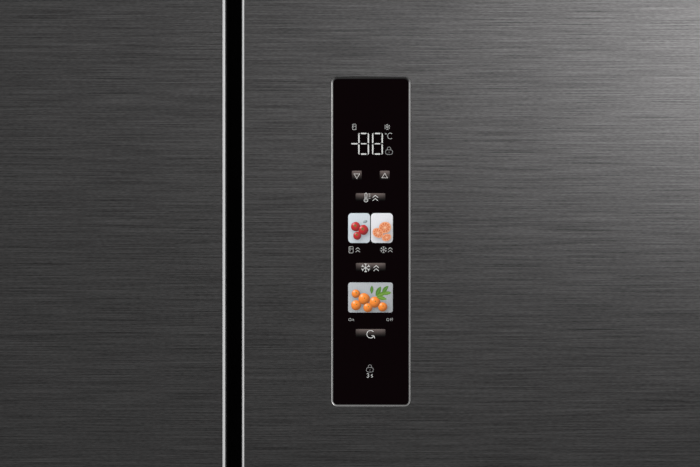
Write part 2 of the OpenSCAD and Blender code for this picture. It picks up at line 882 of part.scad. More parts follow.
// Inner members: bars with a foot on the drawer's back and a ledge under the basket
module drawer_rails(z, length) {
    half = rail_h / 2 - inner_in;
    foot_t = 3;
    color("#bcc0c4")
        both_sides() {
            block([room_x - rail_w, door_back, z - half], [room_x - inner_in, rail_y0 + length, z + half]);
            block([room_x - rail_w - ledge_w, door_back, z - ledge_drop],
                [room_x - rail_w + 1, rail_y0 + length, z - ledge_drop + rail_t]);
            block([room_x - rail_w - ledge_w, door_back, z - half - 14],
                [room_x - inner_in, door_back + foot_t, z + half + 8]);
        }
}

// A freezer basket: ribbed tub whose side flanges rest on the rails' ledges
module basket(rail_z, z0, height, depth) {
    half = room_x - rail_w - ledge_w - 2;
    y0 = door_back + basket_gap;
    flange_z = rail_z - ledge_drop + rail_t;
    slot_step = 34;
    slots = floor((half - 60) / slot_step);
    color("#e3eaec") {
        difference() {
            tub(-half, y0, half, y0 + depth, z0, z0 + height, 22, tub_t);
            for (k = [-slots:slots])
                block([k * slot_step - 9, y0 - cut, z0 + height * 0.45],
                    [k * slot_step + 9, y0 + tub_t + cut, z0 + height * 0.82]);
        }
        both_sides()
            block([half - 1, y0 + 20, flange_z], [half + ledge_w - 2, y0 + depth - 20, flange_z + 3]);
    }
}

// Levelling foot with its threaded stem
module foot() {
    color("#1a1a1a")
        translate([foot_x, foot_y, 0]) {
            cylinder(r = foot_r, h = foot_h);
            cylinder(r = foot_r * 0.5, h = foot_h * 1.8);
            cylinder(r = stem_r, h = stem_top);
        }
}

// Rear rollers, each with its axle
module rear_rollers() {
    color("#202020")
        both_sides()
            translate([roller_x - roller_w / 2, roller_y, axle_z])
                rotate([0, 90, 0]) {
                    cylinder(r = roller_r, h = roller_w);
                    translate([0, 0, -4])
                        cylinder(r = axle_r, h = roller_w + 8);
                }
}

// Outline of a front's body: u from the free edge, v from the face, w wide, inset by the sheet
function body_plan(inset, back, w) = concat(
    [[nose_w, inset]],
    arc([w - edge_r, edge_r], edge_r - inset, 270, 360),
    [[w - inset, back], [trim_t, back], [trim_t, recess_v1 + trim_t],
     [trim_u, recess_v1 + trim_t], [trim_u, nose_d], [nose_w, nose_d]]);

// Outline of the space inside the sheet, open to the back and the free edge
function pan_plan(w) = concat([[-cut, sheet_t]],
    arc([w - edge_r, edge_r], edge_r - sheet_t, 270, 360),
    [[w - sheet_t, door_t + cut], [-cut, door_t + cut]]);

// Outline of the edge extrusion: a bright nose, a finger recess and a rear wall
nose_r = 1;
trim_plan = concat(arc([nose_r, nose_r], nose_r, 180, 270),
    [[nose_w, 0], [nose_w, nose_d], [trim_u, nose_d], [trim_u, recess_v1 + trim_t],
     [trim_t, recess_v1 + trim_t], [trim_t, door_t], [0, door_t], [0, recess_v1],
     [recess_w, recess_v1], [recess_w, recess_v0], [0, recess_v0]]);

// Hinge bushes, in the door's own frame
bush_u = door_w - hinge_in;
bush_r = pin_r + 3.5;
bush_l = pin_l + 2;
bush_fit = 0.3;

module at_bushes(extra) {
    for (z = [door_z0 - extra, door_z1 - bush_l])
        translate([bush_u, hinge_back, z])
            children();
}

// Place of the ridge on the inner doors
ridge_u0 = ridge_in;
ridge_u1 = door_w - side_wall - ridge_clear;
ridge_z0 = fridge_z0 + ridge_clear;
ridge_z1 = fridge_z1 - ridge_clear;
bin_step = (ridge_z1 - ridge_z0 - bin_z - bin_head) / 2;
function bin_floor(k) = ridge_z0 + bin_z + k * bin_step;

// Control panel, in the right door's own frame
panel_u = panel_in + panel_w / 2;
panel_fit = 0.2;
tray_t = 1.5;
function panel_plan(grow) = round_box(panel_u - panel_w / 2 - grow, panel_z - panel_h / 2 - grow,
    panel_u + panel_w / 2 + grow, panel_z + panel_h / 2 + grow, max(panel_r + grow, 1));

// Steel skin of a door, folded round its front, outer side, top and bottom
module door_skin(side) {
    color("#4b4d50")
        at_door(side)
            difference() {
                union() {
                    difference() {
                        prism_z(body_plan(0, door_t, door_w), door_z0, door_z1);
                        prism_z(pan_plan(door_w), door_z0 + sheet_t, door_z1 - sheet_t);
                    }
                    at_bushes(0)
                        cylinder(r = bush_r, h = bush_l);
                }
                at_bushes(cut)
                    cylinder(r = pin_r + run_clear, h = bush_l + cut);
                if (side > 0)
                    prism_y(panel_plan(panel_fit), -cut, sheet_t + cut);
            }
}

// Inner moulding of a door with its foam: a flat back, a raised ridge and ledges for the bins
module door_liner(side) {
    ledge = 6;
    color("#f4f5f4")
        at_door(side) {
            difference() {
                prism_z(body_plan(sheet_t, door_t, door_w), door_z0 + sheet_t, door_z1 - sheet_t);
                at_bushes(bush_fit)
                    cylinder(r = bush_r + bush_fit, h = bush_l + 2 * bush_fit);
                if (side > 0)
                    prism_y(panel_plan(panel_fit), -cut, panel_d + panel_fit);
            }
            difference() {
                prism_y(round_box(ridge_u0, ridge_z0, ridge_u1, ridge_z1, 16), door_t, door_t + ridge_d);
                prism_y(round_box(ridge_u0 + ridge_w, ridge_z0 + ridge_w, ridge_u1 - ridge_w,
                    ridge_z1 - ridge_w, 8), door_t - cut, door_t + ridge_d + cut);
            }
            for (k = [0:2], u = [ridge_u0 + ridge_w - 1, ridge_u1 - ridge_w - ledge])
                block([u, door_t - 1, bin_floor(k) - 10],
                    [u + ledge + 1, door_t + ridge_d - 8, bin_floor(k)]);
            if (side < 0)
                bar_lugs();
        }
}

// Edge extrusion of a door
module door_trim(side) {
    color("#9a9da0")
        at_door(side)
            prism_z(trim_plan, door_z0, door_z1);
}

// Magnetic seal: a frame with a groove along its face
module seal_frame(x0, z0, x1, z1, v) {
    groove = 2;
    difference() {
        prism_y(round_box(x0, z0, x1, z1, 6), v, v + seal_t - seal_clear);
        prism_y(round_box(x0 + seal_w, z0 + seal_w, x1 - seal_w, z1 - seal_w, 3), v - cut, v + seal_t + cut);
        difference() {
            prism_y(round_box(x0 - cut, z0 - cut, x1 + cut, z1 + cut, 6), v + 3, v + 5);
            prism_y(round_box(x0 + groove, z0 + groove, x1 - groove, z1 - groove, 5),
                v + 3 - cut, v + 5 + cut);
        }
    }
}

module door_seal(side) {
    color("#8b8e91")
        at_door(side)
            seal_frame(side < 0 ? seal_in : 1, door_z0 + seal_in, door_w - hinge_in - 1.5,
                door_z1 - seal_in, door_t);
}

// Door bin: a clear tray with a lower front, between the ridge's sides
module door_bin(side, k) {
    fit = 1;
    z0 = bin_floor(k) + 0.3;
    v0 = door_t + fit;
    color("#dfe8ea")
        at_door(side)
            difference() {
                tub(ridge_u0 + ridge_w + fit, v0, ridge_u1 - ridge_w - fit, door_t + bin_d, z0,
                    z0 + bin_h, 16, tub_t);
                prism_x([[door_t + ridge_d, z0 + bin_h + cut], [door_t + ridge_d + 12, z0 + bin_h * 0.72],
                    [door_t + bin_d + cut, z0 + bin_h * 0.66], [door_t + bin_d + cut, z0 + bin_h + cut]],
                    ridge_u0, ridge_u1);
            }
}

// Folding centre bar, which turns on the left door's inner side
pivot_x = -bar_reach - 2;
pivot_y = cab_y + 15;
pivot_u = -pivot_x - door_gap / 2;
pivot_v = pivot_y - front_y;
bar_z0 = fridge_z0 + 6;
bar_z1 = fridge_z1 - 6;
lug_t = 6;
lug_gap = 0.3;
bar_hinges = [for (share = [0.12, 0.5, 0.88]) bar_z0 + share * (bar_z1 - bar_z0)];

// Lugs and pins on the left door that carry the bar, in the door's own frame
module bar_lugs() {
    reach = knuckle_l / 2 + lug_gap;
    for (z = bar_hinges) {
        for (z0 = [z - reach - lug_t, z + reach])
            block([pivot_u - knuckle_r, pivot_v - knuckle_r, z0],
                [ridge_u0 + 1, pivot_v + knuckle_r, z0 + lug_t]);
        translate([pivot_u, pivot_v, z - reach - 1])
            cylinder(r = bar_pin_r, h = 2 * reach + 2);
    }
}

module folding_bar() {
    flank = 3;
    notch = knuckle_l / 2 + lug_gap + lug_t + 1;
    notch_x = pivot_x + knuckle_r + 5;
    color("#d5d7d8")
        difference() {
            union() {
                difference() {
                    prism_z([[-bar_reach, cab_y], [bar_over, cab_y], [bar_over - flank, cab_y + bar_t],
                        [-bar_reach, cab_y + bar_t]], bar_z0, bar_z1);
                    for (z = bar_hinges)
                        block([-bar_reach - cut, cab_y - cut, z - notch],
                            [notch_x, cab_y + bar_t + cut, z + notch]);
                }
                for (z = bar_hinges) {
                    translate([pivot_x, pivot_y, z - knuckle_l / 2])
                        cylinder(r = knuckle_r, h = knuckle_l);
                    block([pivot_x, pivot_y - knuckle_r, z - knuckle_l / 2],
                        [notch_x + 1, pivot_y + knuckle_r, z + knuckle_l / 2]);
                }
            }
            for (z = bar_hinges)
                translate([pivot_x, pivot_y, z - knuckle_l / 2 - cut])
                    cylinder(r = bar_pin_r + run_clear, h = knuckle_l + 2 * cut);
        }
}

// Frame of the control panel: a tray with a narrow bright rim
module panel_frame() {
    color("#bfc1c4")
        at_door(1)
            difference() {
                prism_y(panel_plan(0), 0, panel_d);
                prism_y(panel_plan(-panel_rim), -cut, panel_d - tray_t);
            }
}

module panel_glass() {
    setback = 0.4;
    color("#0b0b0d")
        at_door(1)
            prism_y(panel_plan(-panel_rim - panel_fit), setback, setback + glass_t);
}

// Circuit board of the panel, on the tray's floor
module panel_board() {
    board_t = 1.6;
    margin = 4;
    color("#1d5a35")
        at_door(1)
            prism_y(panel_plan(-panel_rim - margin), panel_d - tray_t - board_t, panel_d - tray_t);
}

// Side outline of a drawer front, from its plan turned upright below the top edge
function upright(plan, z1) = [for (p = plan) [front_y + p[1], z1 - p[0]]];

module drawer_skin(z0, z1) {
    color("#4b4d50")
        difference() {
            prism_x(upright(body_plan(0, door_t, z1 - z0), z1), -cab_x, cab_x);
            prism_x(upright(pan_plan(z1 - z0), z1), -cab_x + sheet_t, cab_x - sheet_t);
        }
}

// Inner moulding of a drawer front with its foam, and a shallow raised field
module drawer_liner(z0, z1) {
    field_d = 3;
    half = room_x - rail_w - ledge_w - 6;
    color("#f4f5f4")
        prism_x(upright(body_plan(sheet_t, door_t, z1 - z0), z1), -cab_x + sheet_t, cab_x - sheet_t);
    color("#f4f5f4")
        prism_y(round_box(-half, z0 + 40, half, z1 - 34, 14), door_back, door_back + field_d);
}

module drawer_trim(z1) {
    color("#9a9da0")
        prism_x(upright(trim_plan, z1), -cab_x, cab_x);
}

module drawer_seal(z0, z1) {
    side = hinge_in + 1.5;
    color("#8b8e91")
        seal_frame(-cab_x + side, z0 + seal_in, cab_x - side, z1 - seal_in, door_back);
}

cabinet_wrap();
cabinet_foam();
back_panel();
fridge_liner();
freezer_liner();
drawer_beam();
base_plate();
kick_grille();
machine_cover();
compressor();
compressor_mounts();
condenser();
fan_motors();
drain_pan();
evaporator();
evaporator_cover();
ceiling_lamp();
shelves();
shelf_trims();
crispers();
hinge_brackets();
hinge_covers();
fixed_rails();
condenser_fan();
evaporator_fan();
mirror([1, 0, 0]) foot();  // left_foot
foot();  // right_foot
rear_rollers();
door_skin(-1);  // left_skin
door_liner(-1);  // left_liner
door_trim(-1);  // left_trim
door_seal(-1);  // left_seal
door_bin(-1, 0);  // left_bin_low
door_bin(-1, 1);  // left_bin_mid
door_bin(-1, 2);  // left_bin_top
folding_bar();
door_skin(1);  // right_skin
door_liner(1);  // right_liner
door_trim(1);  // right_trim
door_seal(1);  // right_seal
door_bin(1, 0);  // right_bin_low
door_bin(1, 1);  // right_bin_mid
door_bin(1, 2);  // right_bin_top
panel_frame();
panel_glass();
panel_board();
drawer_skin(upper_z0, upper_z1);  // upper_skin
drawer_liner(upper_z0, upper_z1);  // upper_liner
drawer_trim(upper_z1);  // upper_trim
drawer_seal(upper_z0, upper_z1);  // upper_seal
basket(upper_rail_z, beam_z + divider_h / 2 + 6, upper_tub, upper_depth);  // upper_basket
drawer_rails(upper_rail_z, upper_rail_l);  // upper_rails
mid_rails(upper_rail_z, upper_rail_l);  // upper_mid_rails
drawer_skin(lower_z0, lower_z1);  // lower_skin
drawer_liner(lower_z0, lower_z1);  // lower_liner
drawer_trim(lower_z1);  // lower_trim
drawer_seal(lower_z0, lower_z1);  // lower_seal
basket(lower_rail_z, freezer_z0 + 10, lower_tub, lower_depth);  // lower_basket
drawer_rails(lower_rail_z, lower_rail_l);  // lower_rails
mid_rails(lower_rail_z, lower_rail_l);  // lower_mid_rails
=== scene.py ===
# %% [markdown]
# A multi-door refrigerator, dressed for a close look at its front.
#
# The solid model gives every sheet, hinge, rail and shelf at its real size. This script adds what the
# eye reads on top of that: the brushed steel, the bright edge strips, the printed and lit marks of the
# touch panel, the glass and clear plastic inside, and the pipes and screws at the back. Everything is
# in metres, with the floor at z = 0 and the front toward -Y.

# %% Load the frame
import math

import bmesh
import bpy
import numpy as np
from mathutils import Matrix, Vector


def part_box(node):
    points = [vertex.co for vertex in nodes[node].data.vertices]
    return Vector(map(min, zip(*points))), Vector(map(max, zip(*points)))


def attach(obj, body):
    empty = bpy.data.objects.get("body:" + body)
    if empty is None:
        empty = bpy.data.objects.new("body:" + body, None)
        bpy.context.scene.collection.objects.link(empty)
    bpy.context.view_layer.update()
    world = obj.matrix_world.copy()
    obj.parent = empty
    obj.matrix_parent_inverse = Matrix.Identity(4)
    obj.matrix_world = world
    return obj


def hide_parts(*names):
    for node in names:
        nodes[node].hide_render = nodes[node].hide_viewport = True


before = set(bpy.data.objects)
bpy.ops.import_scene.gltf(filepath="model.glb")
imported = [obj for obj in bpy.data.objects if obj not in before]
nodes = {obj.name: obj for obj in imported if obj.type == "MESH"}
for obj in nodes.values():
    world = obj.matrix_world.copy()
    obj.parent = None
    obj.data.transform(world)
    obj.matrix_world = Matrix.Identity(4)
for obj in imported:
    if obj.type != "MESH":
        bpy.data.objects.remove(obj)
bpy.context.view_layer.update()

# %% [markdown]
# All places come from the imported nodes, so a change of the model moves the looks with it. The panel's
# frame and the two edge strips are what the close view shows, so their boxes are read first.

# %% Read the places of the front
MM = 0.001
panel_low, panel_high = (np.array(corner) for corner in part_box("panel_frame"))
panel_x, panel_z = (panel_low[0] + panel_high[0]) / 2, (panel_low[2] + panel_high[2]) / 2
front_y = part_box("right_skin")[0][1]
glass_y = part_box("panel_glass")[0][1]
print("panel centre", round(panel_x, 4), round(panel_z, 4), "front", round(front_y, 4))

# %% [markdown]
# The photographer stood straight in front, a little right of the gap between the doors and a little
# above the panel's middle. The image is 700 by 467 pixels and spans about 595 mm at the doors' face.
# The distance sets how much of the doors' edges shows, and the lens then follows from the image's width.

# %% Place the camera
def linked(name, data):
    """A new object, linked to the scene."""
    made = bpy.data.objects.new(name, data)
    bpy.context.scene.collection.objects.link(made)
    return made


IMAGE_W, MM_PER_PIXEL = 700, 0.85
VIEW_DISTANCE, VIEW_LEFT, VIEW_UP = 1.8, 0.0177, 0.007
SENSOR = 36.0
view_width = IMAGE_W * MM_PER_PIXEL * MM
camera_data = bpy.data.cameras.new("camera")
camera_data.sensor_width = SENSOR
camera_data.lens = SENSOR * VIEW_DISTANCE / view_width
camera = linked("camera", camera_data)
camera.location = (panel_x - VIEW_LEFT, front_y - VIEW_DISTANCE, panel_z + VIEW_UP)
camera.rotation_euler = (math.radians(90), 0, 0)
camera_data.clip_start = 0.05
camera_data.clip_end = 60
bpy.context.scene.camera = camera
print("lens", round(camera_data.lens, 1), "mm")

# %% [markdown]
# A finish is a small node tree: Object coordinates go in and one Principled shader comes out. The class
# below keeps the wiring short. Constants go straight on the shader's sockets, and only what varies over
# a surface is linked.

# %% A helper for finishes
class Finish:
    """One material: a Principled shader and the nodes that vary it over the surface."""

    def __init__(self, name, color, rough, metal=0.0, **sockets):
        self.material = bpy.data.materials.new(name)
        self.material.use_nodes = True
        self.tree = self.material.node_tree
        self.shader = self.tree.nodes["Principled BSDF"]
        self.color = color
        self.set(Base_Color=(*color, 1.0), Roughness=rough, Metallic=metal, **sockets)
        self.place = self.add("ShaderNodeTexCoord").outputs["Object"]

    def set(self, **sockets):
        """Writes constants on the shader's own sockets."""
        for key, value in sockets.items():
            self.shader.inputs[key.replace("_", " ")].default_value = value

    def add(self, kind, **settings):
        """Adds a node: attributes in lower case, and inputs as in_NAME or in_NUMBER."""
        made = self.tree.nodes.new(kind)
        for key, value in settings.items():
            if not key.startswith("in_"):
                setattr(made, key, value)
                continue
            name = key[3:]
            socket = made.inputs[int(name)] if name.isdigit() else made.inputs[name.replace("_", " ")]
            if isinstance(value, bpy.types.NodeSocket):
                self.tree.links.new(value, socket)
            else:
                socket.default_value = value
        return made

    def feed(self, source, name):
        """Links an output to one of the shader's sockets."""
        self.tree.links.new(source, self.shader.inputs[name])

    def stretched(self, scale):
        """Object coordinates, scaled along each axis."""
        return self.add("ShaderNodeMapping", in_Vector=self.place, in_Scale=scale).outputs[0]

    def noise(self, scale, detail=3.0, where=None):
        """Noise as a number from 0 to 1."""
        return self.add("ShaderNodeTexNoise", in_Vector=where or self.place, in_Scale=scale,
                        in_Detail=detail).outputs[0]

    def ranged(self, value, low, high, start=0.0, end=1.0):
        """A number moved from start..end to low..high."""
        return self.add("ShaderNodeMapRange", in_Value=value, in_From_Min=start, in_From_Max=end,
                        in_To_Min=low, in_To_Max=high).outputs[0]

    def math(self, kind, a, b=0.0):
        """One arithmetic step."""
        return self.add("ShaderNodeMath", operation=kind, in_0=a, in_1=b).outputs[0]

    def axes(self):
        """The three Object coordinates as numbers."""
        return self.add("ShaderNodeSeparateXYZ", in_Vector=self.place).outputs[:3]

    def waves(self, value, step):
        """The sine of a number, with one turn per step."""
        return self.math("SINE", self.math("MULTIPLY", value, 2 * math.pi / step))

    def blend(self, factor, a, b):
        """A colour between a and b."""
        a = (*a, 1.0) if isinstance(a, tuple) else a
        b = (*b, 1.0) if isinstance(b, tuple) else b
        return self.add("ShaderNodeMix", data_type="RGBA", in_0=factor, in_6=a, in_7=b).outputs[2]

    def shade(self, value, spread):
        """The finish's colour, made darker and lighter by a number from 0 to 1."""
        dark = tuple(c * (1 - spread) for c in self.color)
        light = tuple(min(1.0, c * (1 + spread)) for c in self.color)
        self.feed(self.blend(value, dark, light), "Base Color")

    def bump(self, height, distance, strength=1.0):
        """Relief from a height map, with its depth in metres."""
        relief = self.add("ShaderNodeBump", in_Height=height, in_Distance=distance,
                          in_Strength=strength)
        self.feed(relief.outputs[0], "Normal")

    def grained(self, spread, fine, depth, strength=0.5, broad=9.0):
        """A broad noise for the tone and a fine one for the relief."""
        self.shade(self.noise(broad, 4.0), spread)
        self.bump(self.noise(fine, 2.0), depth, strength)
        return self.material


def dress(material, *names):
    """Gives CAD nodes a material in place of the one they came with."""
    for name in names:
        slots = nodes[name].data.materials
        slots.clear()
        slots.append(material)

# %% [markdown]
# The doors are dark steel, brushed from side to side. A brush leaves fine scratches that are long one
# way and hair-thin the other, so the noise is stretched along X and squeezed along Z. The scratches
# change the tone, the roughness and, very slightly, the relief. Anisotropy draws the highlight out
# sideways, so the light falls off slowly across a door and faster from its top to its bottom.

# %% Brushed steel
LONG_LINES, SHORT_LINES, BANDS = (15.0, 15.0, 2500.0), (240.0, 240.0, 3000.0), (6.0, 6.0, 170.0)

def brushed_steel(name, color, spread):
    """Three stretched noises are added by weight. The middle third of their sum, drawn out to the full
    range, sets the tone and the roughness."""
    steel = Finish(name, color, 0.3, 1.0, Anisotropic=0.57)
    fine, short, broad = (steel.noise(1.0, 2.0, steel.stretched(scale))
                          for scale in (LONG_LINES, SHORT_LINES, BANDS))
    both = steel.math("ADD", steel.math("MULTIPLY", fine, 0.6), steel.math("MULTIPLY", short, 0.36))
    both = steel.math("ADD", both, steel.math("MULTIPLY", broad, 0.04))
    clear = steel.ranged(both, 0.0, 1.0, 0.34, 0.66)
    steel.shade(clear, spread)
    steel.feed(steel.ranged(clear, 0.28, 0.33), "Roughness")
    steel.bump(fine, 0.000012, 0.5)
    return steel.material


dress(brushed_steel("door_steel", (0.031, 0.0305, 0.0305), 0.6), "left_skin", "right_skin", "upper_skin",
      "lower_skin")
print("brushed steel on 4 skins")

# %% [markdown]
# Each door and drawer ends in an aluminium extrusion. Its nose is left bright, and the finger recess
# behind it is anodised black, made nearly black as painted shade of the gap too, so the gap between
# the doors reads as a dark slot with a bright line at each side. The nose's sides are painted duller as
# painted shade, and the right strip's outer edge has a dark seam of painted shadow where it meets the
# skin. One material does both: the distance behind the front face picks the finish.

# %% Edge strips: a bright nose and a black recess
NOSE_D = 11 * MM
# Tones: the bright face, the sides' painted shade, the seam's painted shadow, and the recess, black
# anodising made nearly black as painted shade.
BRIGHT, SIDE_SHADE, SEAM_SHADE, RECESS_BLACK_AND_SHADE = 0.37, 0.24, 0.06, 0.003

def edge_strip(name, seam_shade_x=1.0):
    """Bright on the face and out to the given x, where a dark seam of painted shadow starts. Duller behind
    the face, as painted shade on the nose's sides, and black from the nose's depth inward: black
    anodising, made nearly black as painted shade of the gap."""
    strip = Finish(name, (BRIGHT,) * 3, 0.6, 1.0, Specular_IOR_Level=0.05)
    across, depth, _ = strip.axes()
    # From the nose's depth inward: the recess, black anodising made nearly black as painted shade of the
    # gap.
    inside = strip.ranged(depth, 0.0, 1.0, front_y + NOSE_D - 0.4 * MM, front_y + NOSE_D - 0.2 * MM)
    # Just behind the face: the nose's sides, painted duller as painted shade.
    behind = strip.ranged(depth, 0.0, 1.0, front_y + 0.15 * MM, front_y + 0.6 * MM)
    grain = strip.noise(1.0, 2.0, strip.stretched((300.0, 300.0, 20.0)))
    face = strip.blend(grain, (BRIGHT * 0.92,) * 3, (BRIGHT * 1.08,) * 3)
    # Past the seam's x: a dark seam of painted shadow where the right strip meets the skin.
    seam = strip.ranged(across, 0.0, 1.0, seam_shade_x, seam_shade_x + 0.1 * MM)
    bright = strip.blend(behind, strip.blend(seam, face, (SEAM_SHADE,) * 3), (SIDE_SHADE,) * 3)
    strip.feed(strip.blend(inside, bright, (RECESS_BLACK_AND_SHADE,) * 3), "Base Color")
    strip.feed(strip.math("SUBTRACT", 1.0, inside), "Metallic")
    strip.feed(strip.ranged(inside, 0.6, 0.62), "Roughness")
    return strip.material


right_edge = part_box("right_trim")[0][0]
dress(edge_strip("left_strip"), "left_trim")
dress(edge_strip("right_strip", right_edge + 1.8 * MM), "right_trim")
dress(edge_strip("drawer_strip"), "upper_trim", "lower_trim")
print("edge strips finished")

# %% [markdown]
# The cabinet's sides are painted sheet with the faint orange peel of a sprayed coat. The back and the
# underbody are zinc-coated sheet, which shows a soft mottled spangle. The large back sheet is pressed
# into level beads so that it doesn't drum. A bead is only 2 mm deep, so relief in the finish does it.

# %% Painted and zinc-coated sheet
def zinc_sheet(name="zinc_sheet", color=(0.42, 0.43, 0.45)):
    """Cells of near tones, mixed with a broad noise."""
    zinc = Finish(name, color, 0.45, 0.9)
    spangle = zinc.add("ShaderNodeTexVoronoi", in_Vector=zinc.place, in_Scale=130.0).outputs["Color"]
    tone = zinc.add("ShaderNodeSeparateColor", in_Color=spangle).outputs[0]
    tone = zinc.blend(zinc.noise(7.0, 4.0), (0.2,) * 3, tone)
    zinc.shade(tone, 0.1)
    zinc.feed(zinc.ranged(tone, 0.38, 0.52), "Roughness")
    return zinc


BEAD_STEP, BEAD_W, BEAD_REACH = 0.17, 0.011, 0.35

def beaded_sheet():
    """Height one within half a bead's width of each level, and zero past the beads' ends."""
    sheet = zinc_sheet("beaded_sheet")
    x, _, z = sheet.axes()
    off_level = sheet.math("PINGPONG", z, BEAD_STEP / 2)
    level = sheet.ranged(off_level, 1.0, 0.0, BEAD_W - 0.003, BEAD_W + 0.003)
    reach = sheet.ranged(sheet.math("ABSOLUTE", x), 1.0, 0.0, BEAD_REACH - 0.004, BEAD_REACH)
    sheet.bump(sheet.math("MULTIPLY", level, reach), 0.002)
    return sheet.material


paint = Finish("painted_sheet", (0.06, 0.061, 0.064), 0.6, 0.0, Specular_IOR_Level=0.2)
dress(paint.grained(0.08, 700.0, 0.00006, 0.6, 6.0), "cabinet_wrap")
dress(beaded_sheet(), "back_panel")
dress(zinc_sheet().material, "base_plate", "hinge_brackets")
dress(zinc_sheet("cover_sheet", (0.2, 0.205, 0.21)).material, "machine_cover")
dress(zinc_sheet("rail_steel", (0.55, 0.56, 0.58)).material, "fixed_rails", "upper_rails", "lower_rails",
      "upper_mid_rails", "lower_mid_rails")
print("sheet metal finished")

# %% [markdown]
# Moulded parts: the liners are white and glossy with a hint of unevenness where the sheet was drawn
# thin, the outer black and grey parts are matt with a fine grain, and rubber is dull. A picture of
# plastic could be wrapped round each, but noise needs no unwrapping and has no seams, and as the parts
# differ only in colour, gloss and grain, one function makes them all.

# %% Moulded plastic and rubber
def moulded(name, color, rough, grain=500.0, depth=0.00003, spread=0.05, **sockets):
    """Plastic or rubber, with its grain as a noise's scale and depth."""
    return Finish(name, color, rough, **sockets).grained(spread, grain, depth)


dress(moulded("liner_plastic", (0.8, 0.81, 0.81), 0.28, 40.0, 0.0001, 0.03), "fridge_liner",
      "freezer_liner", "left_liner", "right_liner", "upper_liner", "lower_liner", "evaporator_cover")
dress(moulded("dark_plastic", (0.02, 0.02, 0.022), 0.5), "kick_grille", "hinge_covers", "fan_motors",
      "rear_rollers")
# The folding bar is black plastic, made nearly black as painted shade of the gap between the doors.
dress(moulded("gap_shade_black_bar", (0.003, 0.0028, 0.003), 0.6, Specular_IOR_Level=0.05), "folding_bar")
dress(moulded("grey_plastic", (0.45, 0.46, 0.47), 0.4), "drawer_beam", "drain_pan", "shelf_trims",
      "condenser_fan", "evaporator_fan")
dress(moulded("mount_rubber", (0.015, 0.015, 0.015), 0.8, 900.0, 0.00005), "compressor_mounts")
dress(moulded("insulation", (0.72, 0.6, 0.34), 0.9, 260.0, 0.0004, 0.15), "cabinet_foam")
print("moulded parts finished")

# %% [markdown]
# Two finishes follow the form of what they lie on. A magnetic seal is a bellows, so fine folds run
# along it at equal distances from its outer edge. A levelling foot is a black pad on a zinc-coated
# screw, and the thread starts above the pad's collar. Folds and thread are under a millimetre deep, so
# a sine in the finish does what thousands of small faces would do otherwise.

# %% Folded seals and threaded feet
FOLD = 0.0042

def folded_seal(name):
    """The distance to the nearest outer edge, turned into waves by a sine."""
    rubber = Finish(name + "_rubber", (0.05, 0.05, 0.052), 0.75)
    rubber.shade(rubber.noise(60.0, 3.0), 0.1)
    low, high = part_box(name)
    x, _, z = rubber.axes()
    edges = [rubber.math("MINIMUM", rubber.math("SUBTRACT", value, low[axis]),
                         rubber.math("SUBTRACT", high[axis], value)) for axis, value in ((0, x), (2, z))]
    rubber.bump(rubber.waves(rubber.math("MINIMUM", *edges), FOLD), 0.0005, 0.8)
    dress(rubber.material, name)


def threaded_foot(collar_z=0.0182, pitch=0.0015):
    """Black up to the collar, and above it zinc with a thread, the sine of the height."""
    foot = Finish("foot_finish", (0.02, 0.02, 0.022), 0.5)
    height = foot.axes()[2]
    stem = foot.ranged(height, 0.0, 1.0, collar_z, collar_z + 0.0002)
    zinc_tone = foot.blend(foot.noise(90.0, 3.0), (0.4, 0.41, 0.43), (0.52, 0.53, 0.55))
    foot.feed(foot.blend(stem, (0.02, 0.02, 0.022), zinc_tone), "Base Color")
    foot.feed(stem, "Metallic")
    foot.bump(foot.math("MULTIPLY", foot.waves(height, pitch), stem), 0.0003)
    dress(foot.material, "left_foot", "right_foot")


for name in ("left_seal", "right_seal", "upper_seal", "lower_seal"):
    folded_seal(name)
threaded_foot()
print("seals 4, feet 2")

# %% [markdown]
# Shelves are float glass and the bins, crispers and baskets are clear moulded plastic. Both let light
# through, so their finish is mostly transmission, with a trace of green or blue in the body.

# %% Glass and clear plastic
def see_through(name, color, rough, ior):
    """Mostly transmission, with an uneven roughness."""
    clear = Finish(name, color, rough, IOR=ior, Transmission_Weight=0.92)
    clear.feed(clear.ranged(clear.noise(30.0, 2.0), rough * 0.7, rough * 1.3 + 0.01), "Roughness")
    return clear.material


dress(see_through("shelf_glass", (0.82, 0.93, 0.9), 0.02, 1.5), "shelves")
BINS = [f"{side}_bin_{level}" for side in ("left", "right") for level in ("low", "mid", "top")]
dress(see_through("clear_tub", (0.88, 0.94, 0.96), 0.12, 1.46), "crispers", "upper_basket",
      "lower_basket", *BINS)
lamp = Finish("lamp_cover", (0.95, 0.95, 0.93), 0.4, Emission_Color=(1.0, 0.97, 0.9, 1.0),
              Emission_Strength=1.2)
lamp.shade(lamp.noise(60.0, 2.0), 0.04)
lamp.bump(lamp.waves(lamp.axes()[0], 0.005), 0.0004, 0.7)
dress(lamp.material, "ceiling_lamp")
print("clear parts", len(BINS) + 4)

# %% [markdown]
# The compressor and the condenser are dipped in black enamel, so they get a clear coat over an uneven
# ground. The evaporator is bare aluminium whose fins are lightly scuffed: its roughness varies. All
# three stand behind covers, and plain values with a little noise are enough for them.

# %% Machine room and coils
enamel = Finish("black_enamel", (0.018, 0.019, 0.021), 0.25, Coat_Weight=0.6, Coat_Roughness=0.15)
dress(enamel.grained(0.25, 260.0, 0.00008, 0.4, 14.0), "compressor", "condenser")
fins = Finish("fin_aluminium", (0.6, 0.61, 0.62), 0.35, 1.0)
fins.feed(fins.ranged(fins.noise(80.0, 3.0), 0.25, 0.5), "Roughness")
fins.shade(fins.noise(20.0, 3.0), 0.08)
dress(fins.material, "evaporator")
print("coils finished")

# %% [markdown]
# The panel is a black glass in a thin bright frame, with its circuit board behind. On the real one the
# marks are printed behind the glass, which could be a clear sheet here too. An opaque, nearly black one
# with the marks just in front looks the same, and no light has to find its way through it.

